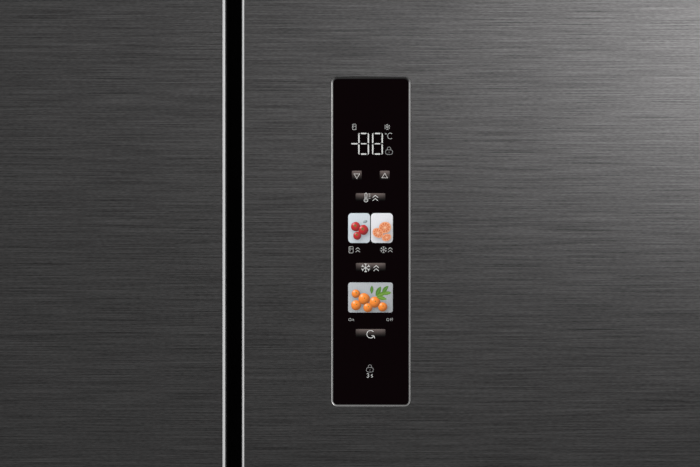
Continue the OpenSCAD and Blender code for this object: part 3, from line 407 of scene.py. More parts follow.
# %% Panel glass, frame and board
black_glass = Finish("black_glass", (0.0016, 0.0001, 0.0005), 0.06, Specular_IOR_Level=0.018)
black_glass.feed(black_glass.ranged(black_glass.noise(40.0, 2.0), 0.04, 0.09), "Roughness")
dress(black_glass.material, "panel_glass")
board = Finish("circuit_board", (0.02, 0.11, 0.05), 0.4)
pads = board.add("ShaderNodeTexVoronoi", in_Vector=board.place, in_Scale=260.0).outputs["Distance"]
board.feed(board.blend(board.ranged(pads, 1.0, 0.0, 0.12, 0.2), (0.02, 0.11, 0.05), (0.7, 0.5, 0.2)),
           "Base Color")
dress(board.material, "panel_board")
print("panel finished")

# %% [markdown]
# New pieces are surfaces worked out on a grid: rows of points that numpy computes as whole arrays. A
# batch gathers several grids into one mesh, with a tint for every point, so the display's many marks
# stay one object each and a single material can colour them all. Where a form closes on itself the
# points fall together, and merging them by distance closes the seam.

# %% Grids to meshes
def grid_quads(rows, columns, wrap_rows):
    """Quads between neighbouring points of a grid that is numbered row by row. Its last column meets the
    first, and on a ring its last row does too."""
    row, column = np.arange(rows if wrap_rows else rows - 1)[:, None], np.arange(columns)[None, :]
    next_row, next_column = (row + 1) % rows, (column + 1) % columns
    corners = (row * columns + column, row * columns + next_column,
               next_row * columns + next_column, next_row * columns + column)
    return np.stack(corners, -1).reshape(-1, 4)


def capped(grid):
    """A grid with a row at each end that is drawn together to a point, so that the form closes."""
    first, last = (np.repeat(grid[k].mean(0)[None, None], grid.shape[1], 1) for k in (0, -1))
    return np.concatenate([first, grid, last], 0)


def around(count):
    """The angles of a full turn, in equal steps."""
    return np.linspace(0, 2 * np.pi, count, endpoint=False)


def unit(rows):
    """Each row over its length."""
    return rows / np.linalg.norm(rows, axis=1, keepdims=True)


class Batch:
    """Collects grids of points, each with its tint, and makes one mesh of them."""

    def __init__(self):
        self.points, self.quads, self.tints, self.count = [], [], [], 0

    def add(self, grid, tint=(1, 1, 1), wrap_rows=False):
        rows, columns = grid.shape[:2]
        self.quads.append(grid_quads(rows, columns, wrap_rows) + self.count)
        self.points.append(grid.reshape(-1, 3))
        shades = np.broadcast_to(np.asarray(tint, float), grid.shape).reshape(-1, 3)
        self.tints.append(np.hstack([shades, np.ones((len(shades), 1))]))
        self.count += rows * columns

    def add_both(self, face, back, tint):
        """Adds a face and its back side as one closed grid."""
        self.add(np.concatenate([face, back[:, ::-1]], 1), np.concatenate([tint, tint[:, ::-1]], 1))

    def make(self, name, body, material, slot, smooth=False):
        """Closes the seams, turns the faces outward, and gives the piece its body and finish."""
        mesh = bpy.data.meshes.new(name)
        mesh.from_pydata(np.vstack(self.points).tolist(), [], np.vstack(self.quads).tolist())
        layer = mesh.attributes.new("tint", "FLOAT_COLOR", "POINT")
        layer.data.foreach_set("color", np.vstack(self.tints).astype(np.float32).ravel())
        work = bmesh.new()
        work.from_mesh(mesh)
        bmesh.ops.remove_doubles(work, verts=work.verts, dist=1e-6)
        bmesh.ops.recalc_face_normals(work, faces=work.faces)
        work.to_mesh(mesh)
        work.free()
        mesh.polygons.foreach_set("use_smooth", [smooth] * len(mesh.polygons))
        mesh.materials.append(material)
        piece = linked(name, mesh)
        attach(piece, body)
        return piece

# %% [markdown]
# The panel's drawing is laid out in millimetres from the centre of its frame, right and up. Two kinds
# of form are enough: a strip along a line, for outlines and letters, and a plate inside an outline,
# flat or crowned, for bars, keys and pictures. Everything stands on the glass and stays behind the
# plane of the door's face.

# %% Outlines in the panel's plane
def arc_line(right, up, radius, start, end, count=12, tall=1.0):
    """Points of an arc: radius times cosine and sine of an angle that runs from start to end."""
    angle = np.radians(np.linspace(start, end, count))
    return np.stack([right + radius * np.cos(angle), up + radius * tall * np.sin(angle)], -1)


def round_rect(right, up, width, height, radii, steps=5):
    """A rectangle with its own corner radii: lower left, lower right, upper right, upper left."""
    radii = (radii,) * 4 if np.isscalar(radii) else radii
    signs = ((-1, -1), (1, -1), (1, 1), (-1, 1))
    corners = []
    for turn, (sign, radius) in enumerate(zip(signs, radii)):
        centre = (right + sign[0] * (width / 2 - radius), up + sign[1] * (height / 2 - radius))
        corners.append(arc_line(*centre, radius, 180 + 90 * turn, 270 + 90 * turn, steps + 1))
    return np.vstack(corners)


def on_glass(flat, lift):
    """Places drawing points (right, up) at a height in front of the glass, all in millimetres."""
    lift = np.broadcast_to(lift, flat.shape[:-1])
    return np.stack([panel_x + flat[..., 0] * MM, glass_y - lift * MM, panel_z + flat[..., 1] * MM], -1)


def plate(outline, shares, lifts, centre=None):
    """Rings of one outline drawn toward its centre: ring k is centre + share k * (outline - centre)."""
    centre = outline.mean(0) if centre is None else np.asarray(centre)
    flat = centre + np.asarray(shares)[:, None, None] * (outline - centre)[None]
    return on_glass(flat, np.asarray(lifts)[:, None])


def strip(batch, line, width, tint=(1, 1, 1), closed=False, low=-0.02, high=0.08):
    """Adds a strip along a line: each point moves half the width to both sides along the mean normal of its
    two neighbours, lengthened at a corner by one over the cosine of half the turn."""
    ahead = np.roll(line, -1, 0) - line
    if not closed:
        ahead[-1] = ahead[-2]
    ahead = unit(ahead)
    behind = np.roll(ahead, 1, 0)
    if not closed:
        behind[0] = ahead[0]
    mean = unit(ahead + behind)
    normal = np.stack([-mean[:, 1], mean[:, 0]], -1)
    turn = np.clip((normal * np.stack([-ahead[:, 1], ahead[:, 0]], -1)).sum(1, keepdims=True), 0.4, 1)
    half = normal / turn * width / 2
    flat = np.stack([line + half, line + half, line - half, line - half], 1)
    grid = on_glass(flat, np.array([low, high, high, low])[None, :])
    batch.add(grid if closed else capped(grid), tint, wrap_rows=closed)

# %% [markdown]
# The display's marks are printed or lit from behind. Their finish takes its colour from the points'
# tint and adds a little light of its own, as a lit mark has. A very fine noise keeps it from looking
# painted on by a computer.

# %% The finish of lit and printed marks
def tinted(name, glow, rough, grain=0.0, metal=0.0, shine=0.2):
    """A finish that takes its colour from the points' tint, with some of it as light."""
    ink = Finish(name, (1, 1, 1), rough, metal, Specular_IOR_Level=shine, Emission_Strength=glow)
    colour = ink.add("ShaderNodeAttribute", attribute_name="tint").outputs[0]
    speck = ink.ranged(ink.noise(2500.0, 2.0), 1.0 - grain, 1.0 + grain)
    toned = ink.add("ShaderNodeVectorMath", operation="SCALE", in_0=colour, in_3=speck).outputs[0]
    ink.feed(toned, "Base Color")
    if glow:
        ink.feed(toned, "Emission Color")
    return ink.material


WHITE, DIM, GREY = (0.54, 0.54, 0.525), (0.42, 0.42, 0.41), (0.178, 0.178, 0.178)
lit_marks = tinted("lit_marks", 0.14, 0.5, 0.06, shine=0.05)

def on_door(batch, name, material=lit_marks):
    """Makes a batch of marks one piece that rides on the right door."""
    batch.make(name, "right_door", material, "lamp_plastic")
    print(name, batch.count, "points")

# %% [markdown]
# Each digit is the usual seven bars. The upright bars have their outer corner rounded where the digit
# ends, and all bars leave a small gap between them. A font could draw the digits, but bars from one
# function keep the gaps and corners of a lit display.

# %% The temperature display
BAR, DIGIT_W, DIGIT_H = 1.12, 9.15, 18.6

def bar(batch, right, up, width, height, radii):
    """A flat bar: one outline at the glass and one at its front, closed toward the centre."""
    outline = round_rect(right, up, width, height, radii)
    batch.add(plate(outline, (0, 1, 1, 0.9, 0), (-0.02, -0.02, 0.06, 0.1, 0.1)), WHITE)


def digit(batch, right, up):
    """Three level bars and four upright ones."""
    reach, flat_w = (DIGIT_W - BAR) / 2, DIGIT_W - 4.6
    for level, height in ((-1, BAR), (0, BAR - 0.2), (1, BAR)):
        bar(batch, right, up + level * (DIGIT_H - BAR) / 2, flat_w, height, 0.25)
    for side in (-1, 1):
        for level in (-1, 1):
            corner = {(-1, -1): 0, (1, -1): 1, (1, 1): 2, (-1, 1): 3}[side, level]
            radii = [0.25] * 4
            radii[corner] = 1.2
            bar(batch, right + side * reach, up + level * 4.85, BAR, 8.5, radii)


display = Batch()
bar(display, -13.9, 83.3, 5.2, 1.1, 0.3)
digit(display, -6.1, 83.3)
digit(display, 5.65, 83.3)
UNIT = (0.365, 0.365, 0.36)
strip(display, arc_line(12.7, 91.7, 0.5, 0, 345, 12), 0.3, UNIT, closed=True)
strip(display, arc_line(16.5, 89.9, 2.2, 45, 315, 18, 1.12), 0.42, UNIT)
on_door(display, "display_digits")

# %% [markdown]
# The photograph's words stand beside, under and on the keys. The object gets small drawn symbols in
# their places: a refrigerator, a snowflake, a thermometer, arrows and a turning arrow. Only ON, OFF
# and the lock's three seconds keep their plain lettering. A symbol is a few strips, so a function for
# each returns its lines in a unit square, and one call scales and places them.

# %% Symbols as lines
def lines(*marks):
    """Open lines through the given points."""
    return [(np.array(mark), False) for mark in marks]


def snowflake():
    """Three crossing lines with a small barb near each of the six ends."""
    made = []
    for k in range(6):
        tip = np.array([math.cos(math.radians(30 + 60 * k)), math.sin(math.radians(30 + 60 * k))]) / 2
        side = np.array([-tip[1], tip[0]])
        made += lines([tip * 0.02, tip], [tip * 0.98 + side * 0.3, tip * 0.7, tip * 0.98 - side * 0.3])
    return made


def fridge():
    """An upright cabinet with a line between its doors and a short handle on each."""
    marks = lines([(-0.3, 0.12), (0.3, 0.12)], [(-0.14, 0.36), (-0.14, 0.24)],
                  [(-0.14, -0.02), (-0.14, -0.22)])
    return [(round_rect(0, 0, 0.66, 1.0, 0.1, 3), True)] + marks


def thermometer():
    """A tube that ends in a round bulb, with its column and three scale lines."""
    bulb = arc_line(-0.15, -0.3, 0.2, 124, 416, 16)
    tube = np.vstack([bulb, arc_line(-0.15, 0.38, 0.12, 0, 180, 7)])
    scale = ([(0.14, z), (0.34, z)] for z in (0.4, 0.16, -0.08))
    return [(tube, True)] + lines([(-0.15, -0.34), (-0.15, 0.1)], *scale)


def chevrons():
    """Two arrowheads that point up, for a fast start."""
    return lines(*([(-0.42, z), (0.0, z + 0.36), (0.42, z)] for z in (-0.46, 0.06)))


def turning_arrow():
    """A circle that is open at the right, and an arrowhead at its end."""
    ring = arc_line(0, 0, 0.42, 40, 325, 24)
    tip = ring[-1]
    return lines(ring, [tip + (-0.24, 0.08), tip + (0.06, 0.05), tip + (0.1, -0.22)])


def padlock():
    """A low body with round corners, a shackle over it and a keyhole."""
    body = round_rect(0, -0.2, 0.92, 0.6, 0.26, 4)
    shackle = arc_line(0, 0.2, 0.23, -20, 200, 14, 1.15)
    return [(body, True)] + lines(shackle, [(0, -0.14), (0, -0.26)])


def symbol(batch, lines, right, up, size, width=0.5, tint=WHITE):
    """Scales a symbol's lines to a size in millimetres and adds them, each a hair higher than the
    last, so that crossing lines don't share a surface."""
    for k, (line, closed) in enumerate(lines):
        strip(batch, line * size + (right, up), width, tint, closed, high=0.08 + 0.004 * k)


symbols = Batch()
symbol(symbols, fridge(), -14.1, 97.6, 4.6, 0.3, DIM)
symbol(symbols, snowflake(), 13.9, 97.6, 4.8, 0.24, DIM)
symbol(symbols, padlock(), 15.5, 77.5, 6.6, 0.5, GREY)
symbol(symbols, padlock(), -0.8, -107.6, 6.4, 0.5, GREY)
for side, mark, width in ((-14.0, fridge(), 0.32), (13.6, snowflake(), 0.26)):
    symbol(symbols, mark, side - 2.8, -6.8, 5.4, width, DIM)
    symbol(symbols, chevrons(), side + 2.9, -6.8, 4.4, 0.36, DIM)
on_door(symbols, "panel_symbols")

# %% [markdown]
# ON, OFF and 3 s are letters of one stroke width, so they are strips along arcs too. A font's letters
# would be outlines to fill, with a stroke that can't be set.

# %% Plain letters
def letter_o(right, up, size):
    """A circle, a little taller than wide."""
    return [(arc_line(right, up, size * 0.5, 0, 345, 20, 1.05), True)]


def letter_n(right, up, size):
    """A half circle on two legs."""
    arch = arc_line(right, up - size * 0.12, size * 0.3, 180, 0, 9)
    foot = up - size * 0.52
    return lines(np.vstack([[(right - size * 0.3, foot)], arch, [(right + size * 0.3, foot)]]))


def letter_f(right, up, size):
    """A quarter hook on a stem, and a bar across."""
    hook = arc_line(right + size * 0.22, up + size * 0.3, size * 0.24, 80, 180, 7)
    stem = np.vstack([hook, [(hook[-1][0], up - size * 0.52)]])
    return lines(stem, [(right - size * 0.24, up + size * 0.12), (right + size * 0.26, up + size * 0.12)])


def two_arcs(right, up, size, arcs):
    """One arc over another, each as its height, radius, first and last angle and number of points. A 3
    has both open at the left, and an S has them bent opposite ways."""
    top, low = (arc_line(right, up + size * rise, size * radius, *rest) for rise, radius, *rest in arcs)
    return lines(np.vstack([top[:-1], low]))


THREE = ((0.24, 0.24, 150, -90, 10), (-0.24, 0.27, 90, -150, 11))
ESS = ((0.16, 0.17, 30, 270, 10), (-0.17, 0.17, 90, -150, 10))
LETTER_UP, STROKE = -66.2, 0.26
letters = Batch()
on = letter_o(-17.7, LETTER_UP, 2.1) + letter_n(-15.2, LETTER_UP, 2.3)
off = letter_o(14.5, LETTER_UP, 2.1) + letter_f(16.8, LETTER_UP, 2.2) + letter_f(18.2, LETTER_UP, 2.2)
for word in (on, off):
    symbol(letters, word, 0, 0, 1, STROKE, DIM)
symbol(letters, two_arcs(-2.6, -113.7, 3.3, THREE) + two_arcs(0.9, -114.0, 3.4, ESS), 0, 0, 1, 0.5, DIM)
on_door(letters, "panel_letters")

# %% [markdown]
# Keys and pictures are printed fields with round corners. A field is a grid whose rows draw in near its
# top and bottom, so the print's colour can be any formula of the place inside it. The keys fade from a
# warm grey at the top to the glass's black at the bottom.

# %% Printed fields and the touch keys
def field(batch, right, up, width, height, radius, paint, rows=16, columns=9, front=0.04):
    """Point (i, j) lies at depth i below the top and at share j of that row's width. Near a corner the
    half width loses radius minus the root of radius squared less the distance into the corner squared.
    A back side at the glass closes the form."""
    ends = radius * (1 - np.cos(np.radians(np.linspace(0, 90, 7))))
    depth = np.concatenate([ends, np.linspace(radius, height - radius, rows)[1:-1], height - ends[::-1]])
    into = np.maximum(radius - np.minimum(depth, height - depth), 0)
    half = (width / 2 - radius + np.sqrt(radius**2 - into**2))[:, None]
    share = np.linspace(-1, 1, columns)[None]
    rises = np.broadcast_to((height / 2 - depth)[:, None], (len(depth), columns))
    flat = np.stack([share * half, rises], -1)
    tint = np.clip(paint(flat), 0, 1)
    lift = np.full(flat.shape[:2], front)
    lift[0] = lift[-1] = -0.02
    flat += (right, up)
    batch.add_both(on_glass(flat, lift), on_glass(flat, -0.02), tint)


KEY_TOP = np.array((0.1035, 0.0815, 0.076))
keys = Batch()
for right, up, width, height in ((-11.9, 56.5, 8.4, 7.7), (11.8, 56.5, 8.4, 7.7), (-0.3, 38.1, 25.1, 6.2),
                                 (-0.1, -21.4, 25.1, 6.6), (-0.2, -77.5, 25.2, 6.4)):
    def fade(flat, width=width, height=height):
        """Brightest at the top, with the power 1.7 of the share of height, and dimmer at both ends."""
        tall = np.clip(flat[..., 1] / height + 0.5, 0, 1) ** 1.7
        wide = 1 - 0.35 * np.abs(flat[..., 0] / width * 2) ** 6
        return KEY_TOP * (tall * wide)[..., None] + 0.001
    field(keys, right, up, width, height, 0.9, fade)
on_door(keys, "key_fields", tinted("key_print", 0.45, 0.35, 0.04, shine=0.02))

# %% [markdown]
# Each key carries its mark in white: a triangle for down and one for up, then the thermometer, the
# snowflake and the turning arrow. The symbols drawn before serve again, larger, and only the triangles
# are new.

# %% The keys' symbols
key_marks = Batch()
for right, up in ((-11.9, -1), (11.8, 1)):
    corners = [(right + k * 2.4, 56.0 + m * up) for k, m in ((-1, -1.7), (1, -1.7), (0, 2.3))]
    strip(key_marks, np.array(corners), 0.4, (0.47, 0.455, 0.435), closed=True)
symbol(key_marks, thermometer(), -3.0, 37.6, 7.6, 0.42)
symbol(key_marks, chevrons(), 3.8, 37.3, 5.2, 0.5)
symbol(key_marks, snowflake(), -4.4, -22.2, 7.4, 0.42)
symbol(key_marks, chevrons(), 4.6, -22.4, 5.2, 0.5)
symbol(key_marks, turning_arrow(), -0.2, -78.6, 7.6, 0.52)
on_door(key_marks, "key_marks")

# %% [markdown]
# Three small colour pictures of food show which mode is on. They are drawn here from plain forms of
# this object's own: tomatoes on a pale cloth, orange slices on a pale board, and tangerines with their
# leaves on slate. Each fruit is a low dome whose tint has the light worked in, from the upper left, and
# each ground gets darker where a fruit's shadow falls.

# %% Light and shadow for the pictures
LIGHT = np.array((-0.45, 0.55, 0.7))

def spun(flat, degrees):
    """Drawing points, turned about their origin."""
    angle = math.radians(degrees)
    return flat @ np.array([(math.cos(angle), math.sin(angle)), (-math.sin(angle), math.cos(angle))])


def ground_paint(base, grain, spots):
    """The ground's colour with waves of grain, darker by a bell curve to the lower right of each spot
    (right, up, radius)."""
    def paint(flat):
        wave = np.sin(flat[..., 0] * 3.1 + 2 * np.sin(flat[..., 1] * 1.7)) * np.sin(flat[..., 1] * 2.3 + 1)
        tone = 1 + grain * wave - 0.006 * (flat[..., 0] - flat[..., 1])
        for right, up, radius in spots:
            away = (flat[..., 0] - right - radius * 0.3) ** 2 + (flat[..., 1] - up + radius * 0.35) ** 2
            tone = tone * (1 - 0.6 * np.exp(-away / (radius * 1.05) ** 2))
        return np.asarray(base) * tone[..., None]
    return paint


def dome(batch, right, up, radius, color, low=0.05, rise=0.12, lobes=0, depth=0.0, squash=1.0, turn=0.0):
    """A low dome: ring k lies at share sin(a) of the outline and at height rise times cos(a). Its tint
    is the colour times the light's share on a ball with the same outline, plus a small bright spot."""
    angle = around(36)
    reach = radius * (1 + depth * np.cos(lobes * angle))
    shape = spun(np.stack([reach * np.cos(angle), reach * squash * np.sin(angle)], -1), turn)
    slope = np.radians(np.linspace(90, 0, 9))
    share = np.concatenate([[0], np.sin(slope)])
    lift = np.concatenate([[low - 0.03], low + rise * np.cos(slope)])
    ball = np.concatenate([shape / radius * share[:, None, None],
                           np.broadcast_to(np.cos(np.concatenate([[0], slope]))[:, None, None],
                                           (10, 36, 1))], -1)
    lit = np.clip(ball @ (LIGHT / np.linalg.norm(LIGHT)), 0, 1)
    tint = np.asarray(color) * (0.3 + 0.85 * lit)[..., None] + 0.35 * lit[..., None] ** 40
    batch.add(plate(shape + (right, up), share, lift, (right, up)), tint)


pictures = Batch()
PICTURE_H = 25.4
print("light toward", LIGHT.round(2))

# %% Picture one: tomatoes on a pale cloth
def star(batch, right, up, radius, color, low):
    """A flat calyx of five pointed leaves: the reach follows a power of the cosine of 2.5 angles."""
    angle = around(60)
    reach = radius * (0.28 + 0.72 * np.abs(np.cos(2.5 * angle)) ** 3)
    outline = np.stack([right + reach * np.cos(angle), up + reach * np.sin(angle)], -1)
    batch.add(plate(outline, (0, 1, 1, 0), (low, low, low + 0.02, low + 0.04), (right, up)), color)


TOMATOES = ((-2.9, 1.2, 4.0), (3.6, -1.6, 4.3), (-1.6, -6.6, 3.4))
first_x, first_z = -9.95, 11.65
field(pictures, first_x, first_z, 18.6, PICTURE_H, 3.1,
      ground_paint((0.507, 0.552, 0.589), 0.05, TOMATOES), 34, 30)
for right, up, radius in TOMATOES:
    dome(pictures, first_x + right, first_z + up, radius, (0.5, 0.012, 0.016), lobes=5, depth=0.025)
    star(pictures, first_x + right - 0.5, first_z + up + 0.9, radius * 0.42, (0.05, 0.14, 0.03), 0.18)
dome(pictures, first_x + 5.2, first_z + 5.4, 1.9, (0.3, 0.36, 0.38), rise=0.08, squash=0.6, turn=20)
print("tomatoes", len(TOMATOES))

# %% Picture two: orange slices on a pale board
def slice_of_orange(batch, right, up, radius, squash, turn, low):
    """A flat round slice. Rings run from the rind inward; the pulp is split into ten by pale lines where
    the sine of five angles is near zero."""
    angle = around(100)
    shape = spun(radius * np.stack([np.cos(angle), squash * np.sin(angle)], -1), turn)
    share = np.array([0, 1, 1, 0.93, 0.88, 0.83, 0.7, 0.55, 0.4, 0.25, 0.12, 0])
    lift = low + np.array([-0.02, -0.02, 0.03, 0.05, 0.05, 0.05, 0.055, 0.055, 0.055, 0.05, 0.05, 0.05])
    rind, pith, pulp = np.array([(0.72, 0.2, 0.05), (0.8, 0.55, 0.36), (0.72, 0.19, 0.06)])
    seam = np.clip(1 - np.abs(np.sin(5 * angle))[None] * share[:, None] * 5, 0, 1)[..., None]
    wedge = 0.82 + 0.25 * np.sin(23 * angle[None] + 9 * share[:, None])[..., None]
    tint = np.where(share[:, None, None] > 0.9, rind, pith)
    inner = (share <= 0.83) & (share > 0.1)
    tint = np.where(inner[:, None, None], pulp * wedge * (1 - seam) + pith * seam, tint)
    light = 1 + 0.12 * (shape @ LIGHT[:2] / radius)[None, :, None] * share[:, None, None]
    batch.add(plate(shape + (right, up), share, lift, (right, up)), tint * light)


SLICES = ((2.6, 0.4, 5.2, 0.92, 25), (-3.4, -4.2, 4.8, 0.8, -35), (4.0, -8.0, 4.0, 0.75, 20))
second_x, second_z = 9.4, 11.65
field(pictures, second_x, second_z, 18.6, PICTURE_H, 3.1,
      ground_paint((0.626, 0.626, 0.649), 0.05, [(a, b, c * 0.9) for a, b, c, _, _ in SLICES]), 34, 30)
for k, (right, up, radius, squash, turn) in enumerate(SLICES):
    slice_of_orange(pictures, second_x + right, second_z + up, radius, squash, turn, 0.07 + 0.07 * k)
print("slices", len(SLICES))

# %% Picture three: tangerines and leaves on slate
def leaf(batch, right, up, length, width, turn, color, low):
    """A pointed leaf: at share s of its length it is sin(pi s) times the width, and its middle line is
    paler."""
    along = np.linspace(0, 1, 15)[:, None]
    across = np.linspace(-1, 1, 7)[None]
    wide = np.sin(np.pi * along) ** 0.8 * across * width / 2
    flat = spun(np.stack([np.broadcast_to(along * length, wide.shape), wide], -1), turn)
    rib = np.exp(-(across * 4) ** 2) + 0.15 * np.sin(along * 40 + np.abs(across) * 6)
    tint = np.asarray(color) * (0.8 + 0.5 * np.broadcast_to(rib, wide.shape))[..., None]
    lift = low + 0.05 * (1 - across**2) * np.sin(np.pi * along)
    face, back = on_glass(flat + (right, up), lift + 0.02), on_glass(flat + (right, up), low)
    face[:, (0, -1)] = back[:, (0, -1)]
    batch.add_both(face, back, tint)


TANGERINES = ((-12.2, -6.6, 4.3), (-5.4, -1.2, 4.9), (-2.2, -8.6, 3.9), (3.8, -4.0, 4.7), (-12.4, 3.2, 3.6),
              (10.4, -8.0, 3.9))
third_x, third_z = -0.3, -47.4
field(pictures, third_x, third_z, 37.9, 25.6, 2.0,
      ground_paint((0.35, 0.365, 0.378), 0.06, TANGERINES), 34, 56)
for right, up, radius in TANGERINES:
    dome(pictures, third_x + right, third_z + up, radius, (0.85, 0.23, 0.025), lobes=3, depth=0.015)
    dome(pictures, third_x + right + 0.3, third_z + up + 0.8, 0.5, (0.12, 0.2, 0.03), 0.16, 0.04)
for k, (right, up, length, width, turn) in enumerate(((5.0, 1.0, 9.5, 3.6, 22), (4.6, 1.4, 9.0, 3.8, 62),
                                                      (5.2, 0.6, 9.0, 3.2, -14), (10.0, 4.2, 7.6, 3.4, 48),
                                                      (9.6, 3.4, 8.2, 3.2, 5), (1.0, 3.2, 7.0, 2.8, 88))):
    color = (0.075, 0.19, 0.022) if k % 2 else (0.12, 0.25, 0.03)
    leaf(pictures, third_x + right, third_z + up, length, width, turn, color, 0.08 + 0.03 * k)
on_door(pictures, "food_pictures", tinted("picture_print", 0.0, 0.4, 0.05))

# %% [markdown]
# The frame round the glass is a thin metal tray whose rim falls toward the glass in a bevel. It is one
# section carried round a rectangle with round corners, and it takes the node's place. Light and shade
# are painted into the rim's tint: painted highlights on its upright and lower sides, a little weaker on
# the lower one, and painted shade on its upper side, which faces down. The tint of each point follows
# the way the bevel faces there.

# %% The panel's frame
rim_w, rim_h, rim_d = (panel_high - panel_low)[[0, 2, 1]] / MM
RIM_R, RIM_WALL, TRAY_T, GLASS_SETBACK = 5.0, 1.6, 1.5, 0.4
TOP_PAINTED_SHADE, TOP_SHADE_POWER, FOOT_PAINTED_SHADE = 0.96, 0.8, 0.2
# Each corner of the section: inset from the edge (None is the middle), depth behind the front, and the
# tone at the left and at the right. The tones are painted light and shade: painted highlights on the
# bevel, painted shade toward the glass, and unlike at the left and the right.
section = [(None, rim_d, 0.1, 0.1), (0, rim_d, 0.1, 0.1), (0, 0.1, 0.1, 0.1), (0.1, 0, 0.25, 0.14),
           (0.45, 0, 0.27, 0.3), (0.95, 0.18, 0.15, 0.1), (RIM_WALL - 0.06, 0.44, 0.11, 0.06),
           (RIM_WALL, 0.55, 0.05, 0.06), (RIM_WALL, rim_d - TRAY_T, 0.05, 0.05),
           (None, rim_d - TRAY_T, 0.05, 0.05)]
rings, painted_light_tones = [], []
for inset, depth, left_painted_light, right_painted_light in section:
    inner = RIM_WALL if inset is None else inset
    ring = round_rect(0, 0, rim_w - 2 * inner, rim_h - 2 * inner, RIM_R - inner, 9)
    rings.append(on_glass(ring * (0 if inset is None else 1), GLASS_SETBACK - depth))
    # Painted shade: the upper side, which faces down, darkens across the upper corners.
    top_shade_share = np.clip(ring[:, 1] - (rim_h / 2 - RIM_R), 0, RIM_R) / RIM_R
    tone = np.where(ring[:, 0] > 0, right_painted_light, left_painted_light)
    # Painted shade: the lower side is made a little darker.
    foot_shade_mask = ring[:, 1] < RIM_R - rim_h / 2
    painted_light_tones.append(tone * (1 - TOP_PAINTED_SHADE * top_shade_share**TOP_SHADE_POWER) * (1 - FOOT_PAINTED_SHADE * foot_shade_mask))
frame_shell = Batch()
frame_shell.add(np.stack(rings), np.stack(painted_light_tones)[..., None] * np.array((1.0, 0.99, 0.98)))
# The rim's tint carries its painted highlights and painted shade.
painted_light_rim = tinted("painted_light_rim", 0.0, 0.3, 0.05, 1.0)
bevel = frame_shell.make("panel_bevel", "right_door", painted_light_rim, "chrome_rim")
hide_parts("panel_frame")
print("frame", rim_w.round(1), "by", rim_h.round(1), "mm")

# %% [markdown]
# The pieces behind the doors aren't in the panel's plane, so they need forms in space. A swept form
# carries a section along a path, which suits rims and pulls. A relief is a height over a rectangle, so
# slots are pressed into a cover by a formula. A turned form carries a profile round an axis, as a lathe
# does, and suits screws.

# %% Forms in space, in millimetres
def box_mm(name):
    """A node's lowest and highest corners in millimetres."""
    return tuple(np.array(corner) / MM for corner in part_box(name))


def vertices(name):
    """A node's points in metres, one row each."""
    mesh = nodes[name].data
    points = np.empty(len(mesh.vertices) * 3, np.float32)
    mesh.vertices.foreach_get("co", points)
    return points.reshape(-1, 3)


def swept(batch, path, section, tint=(1, 1, 1), up=(0, 0, 1), closed=False):
    """Section point (right, over) goes to path + right * side + over * lift. Side is the unit product of
    the path's direction and up, and lift is the product of side and direction."""
    path, section = np.asarray(path, float), np.asarray(section, float)
    ahead = np.roll(path, -1, 0) - np.roll(path, 1, 0) if closed else np.gradient(path, axis=0)
    ahead = unit(ahead)
    side = unit(np.cross(ahead, up))
    lift = np.cross(side, ahead)
    grid = path[:, None] + section[None, :, :1] * side[:, None] + section[None, :, 1:] * lift[:, None]
    batch.add((grid if closed else capped(grid)) * MM, tint, wrap_rows=closed)


def relief(batch, xs, zs, front, back_y, paint):
    """Point (i, j) is at x j, z i and y = front(x, z). The first and last rows fall back to the back's
    plane, and a flat back side closes the form."""
    x, z = np.meshgrid(xs, zs)
    y = front(x, z)
    y[[0, -1]] = back_y
    back = np.stack([x, np.full(x.shape, back_y), z], -1)
    batch.add_both(np.stack([x, y, z], -1) * MM, back * MM, paint(x, z))


def turned(batch, centre, axis, profile, paint, count=24):
    """Point (i, j) is at the profile's radius and height i, turned by angle j about the axis."""
    axis = np.asarray(axis, float)
    right = np.cross(axis, (0, 0, 1) if abs(axis[2]) < 0.9 else (1, 0, 0))
    up = np.cross(right, axis)
    angle = around(count)
    radius, height = (np.asarray(profile, float)[:, k][:, None] for k in (0, 1))
    a, b = radius * np.cos(angle), radius * np.sin(angle)
    spot = a[..., None] * right + b[..., None] * up + np.broadcast_to(height, a.shape)[..., None] * axis
    batch.add((np.asarray(centre) + spot) * MM, paint(a, b))


def ramp(value, start, end):
    """Rises from 0 at start to 1 at end, with a smooth step between."""
    share = np.clip((value - start) / (end - start), 0, 1)
    return share * share * (3 - 2 * share)


def oval(wide, tall, count=12, power=0.6):
    """A section between an oval and a rectangle: cosine and sine, each raised to a power under one."""
    angle = around(count) + np.pi / count
    across, over = (np.sign(part) * np.abs(part) ** power for part in (np.cos(angle), np.sin(angle)))
    return np.stack([wide / 2 * across, tall / 2 * over], -1)


print("an oval section of", len(oval(6, 8)), "points")

# %% [markdown]
# Cold air reaches every shelf through a duct on the rear wall. Its moulded cover has two rows of louvres
# above each shelf. It is one relief: an outline with round corners and a soft edge, and slots pressed
# in where the formula says. The grid's lines lie at the slots' edges, so the walls come out crisp.

# %% The air duct's cover
wall_y = box_mm("evaporator_cover")[1][1]
levels = np.unique((vertices("shelves")[:, 2] / MM).round(0))[::2]
room_top = box_mm("ceiling_lamp")[1][2]
bays = np.append((levels[1:] + levels[:-1]) / 2, (levels[-1] + room_top) / 2) + 24

DUCT_HALF, DUCT_R, DUCT_D, LOUVRE_D = 152.0, 16.0, 5.0, 3.8
duct_low, duct_high = levels[0] - 16, room_top - 26
louvre_x, louvre_half, louvre_h = 74.0, 44.0, 5.0
louvres = np.concatenate([bays + k * 11 for k in (-1, 0, 1)])

def duct_lines(low, high, edges, soft):
    """Grid lines: a few across each end's corner and two at each edge of a louvre."""
    end = np.array([0, 0.6, 1.5, 3, 6, 10, DUCT_R])
    inner = np.concatenate([edges - soft, edges + soft])
    return np.unique(np.concatenate([low + end, high - end, inner]).round(3))

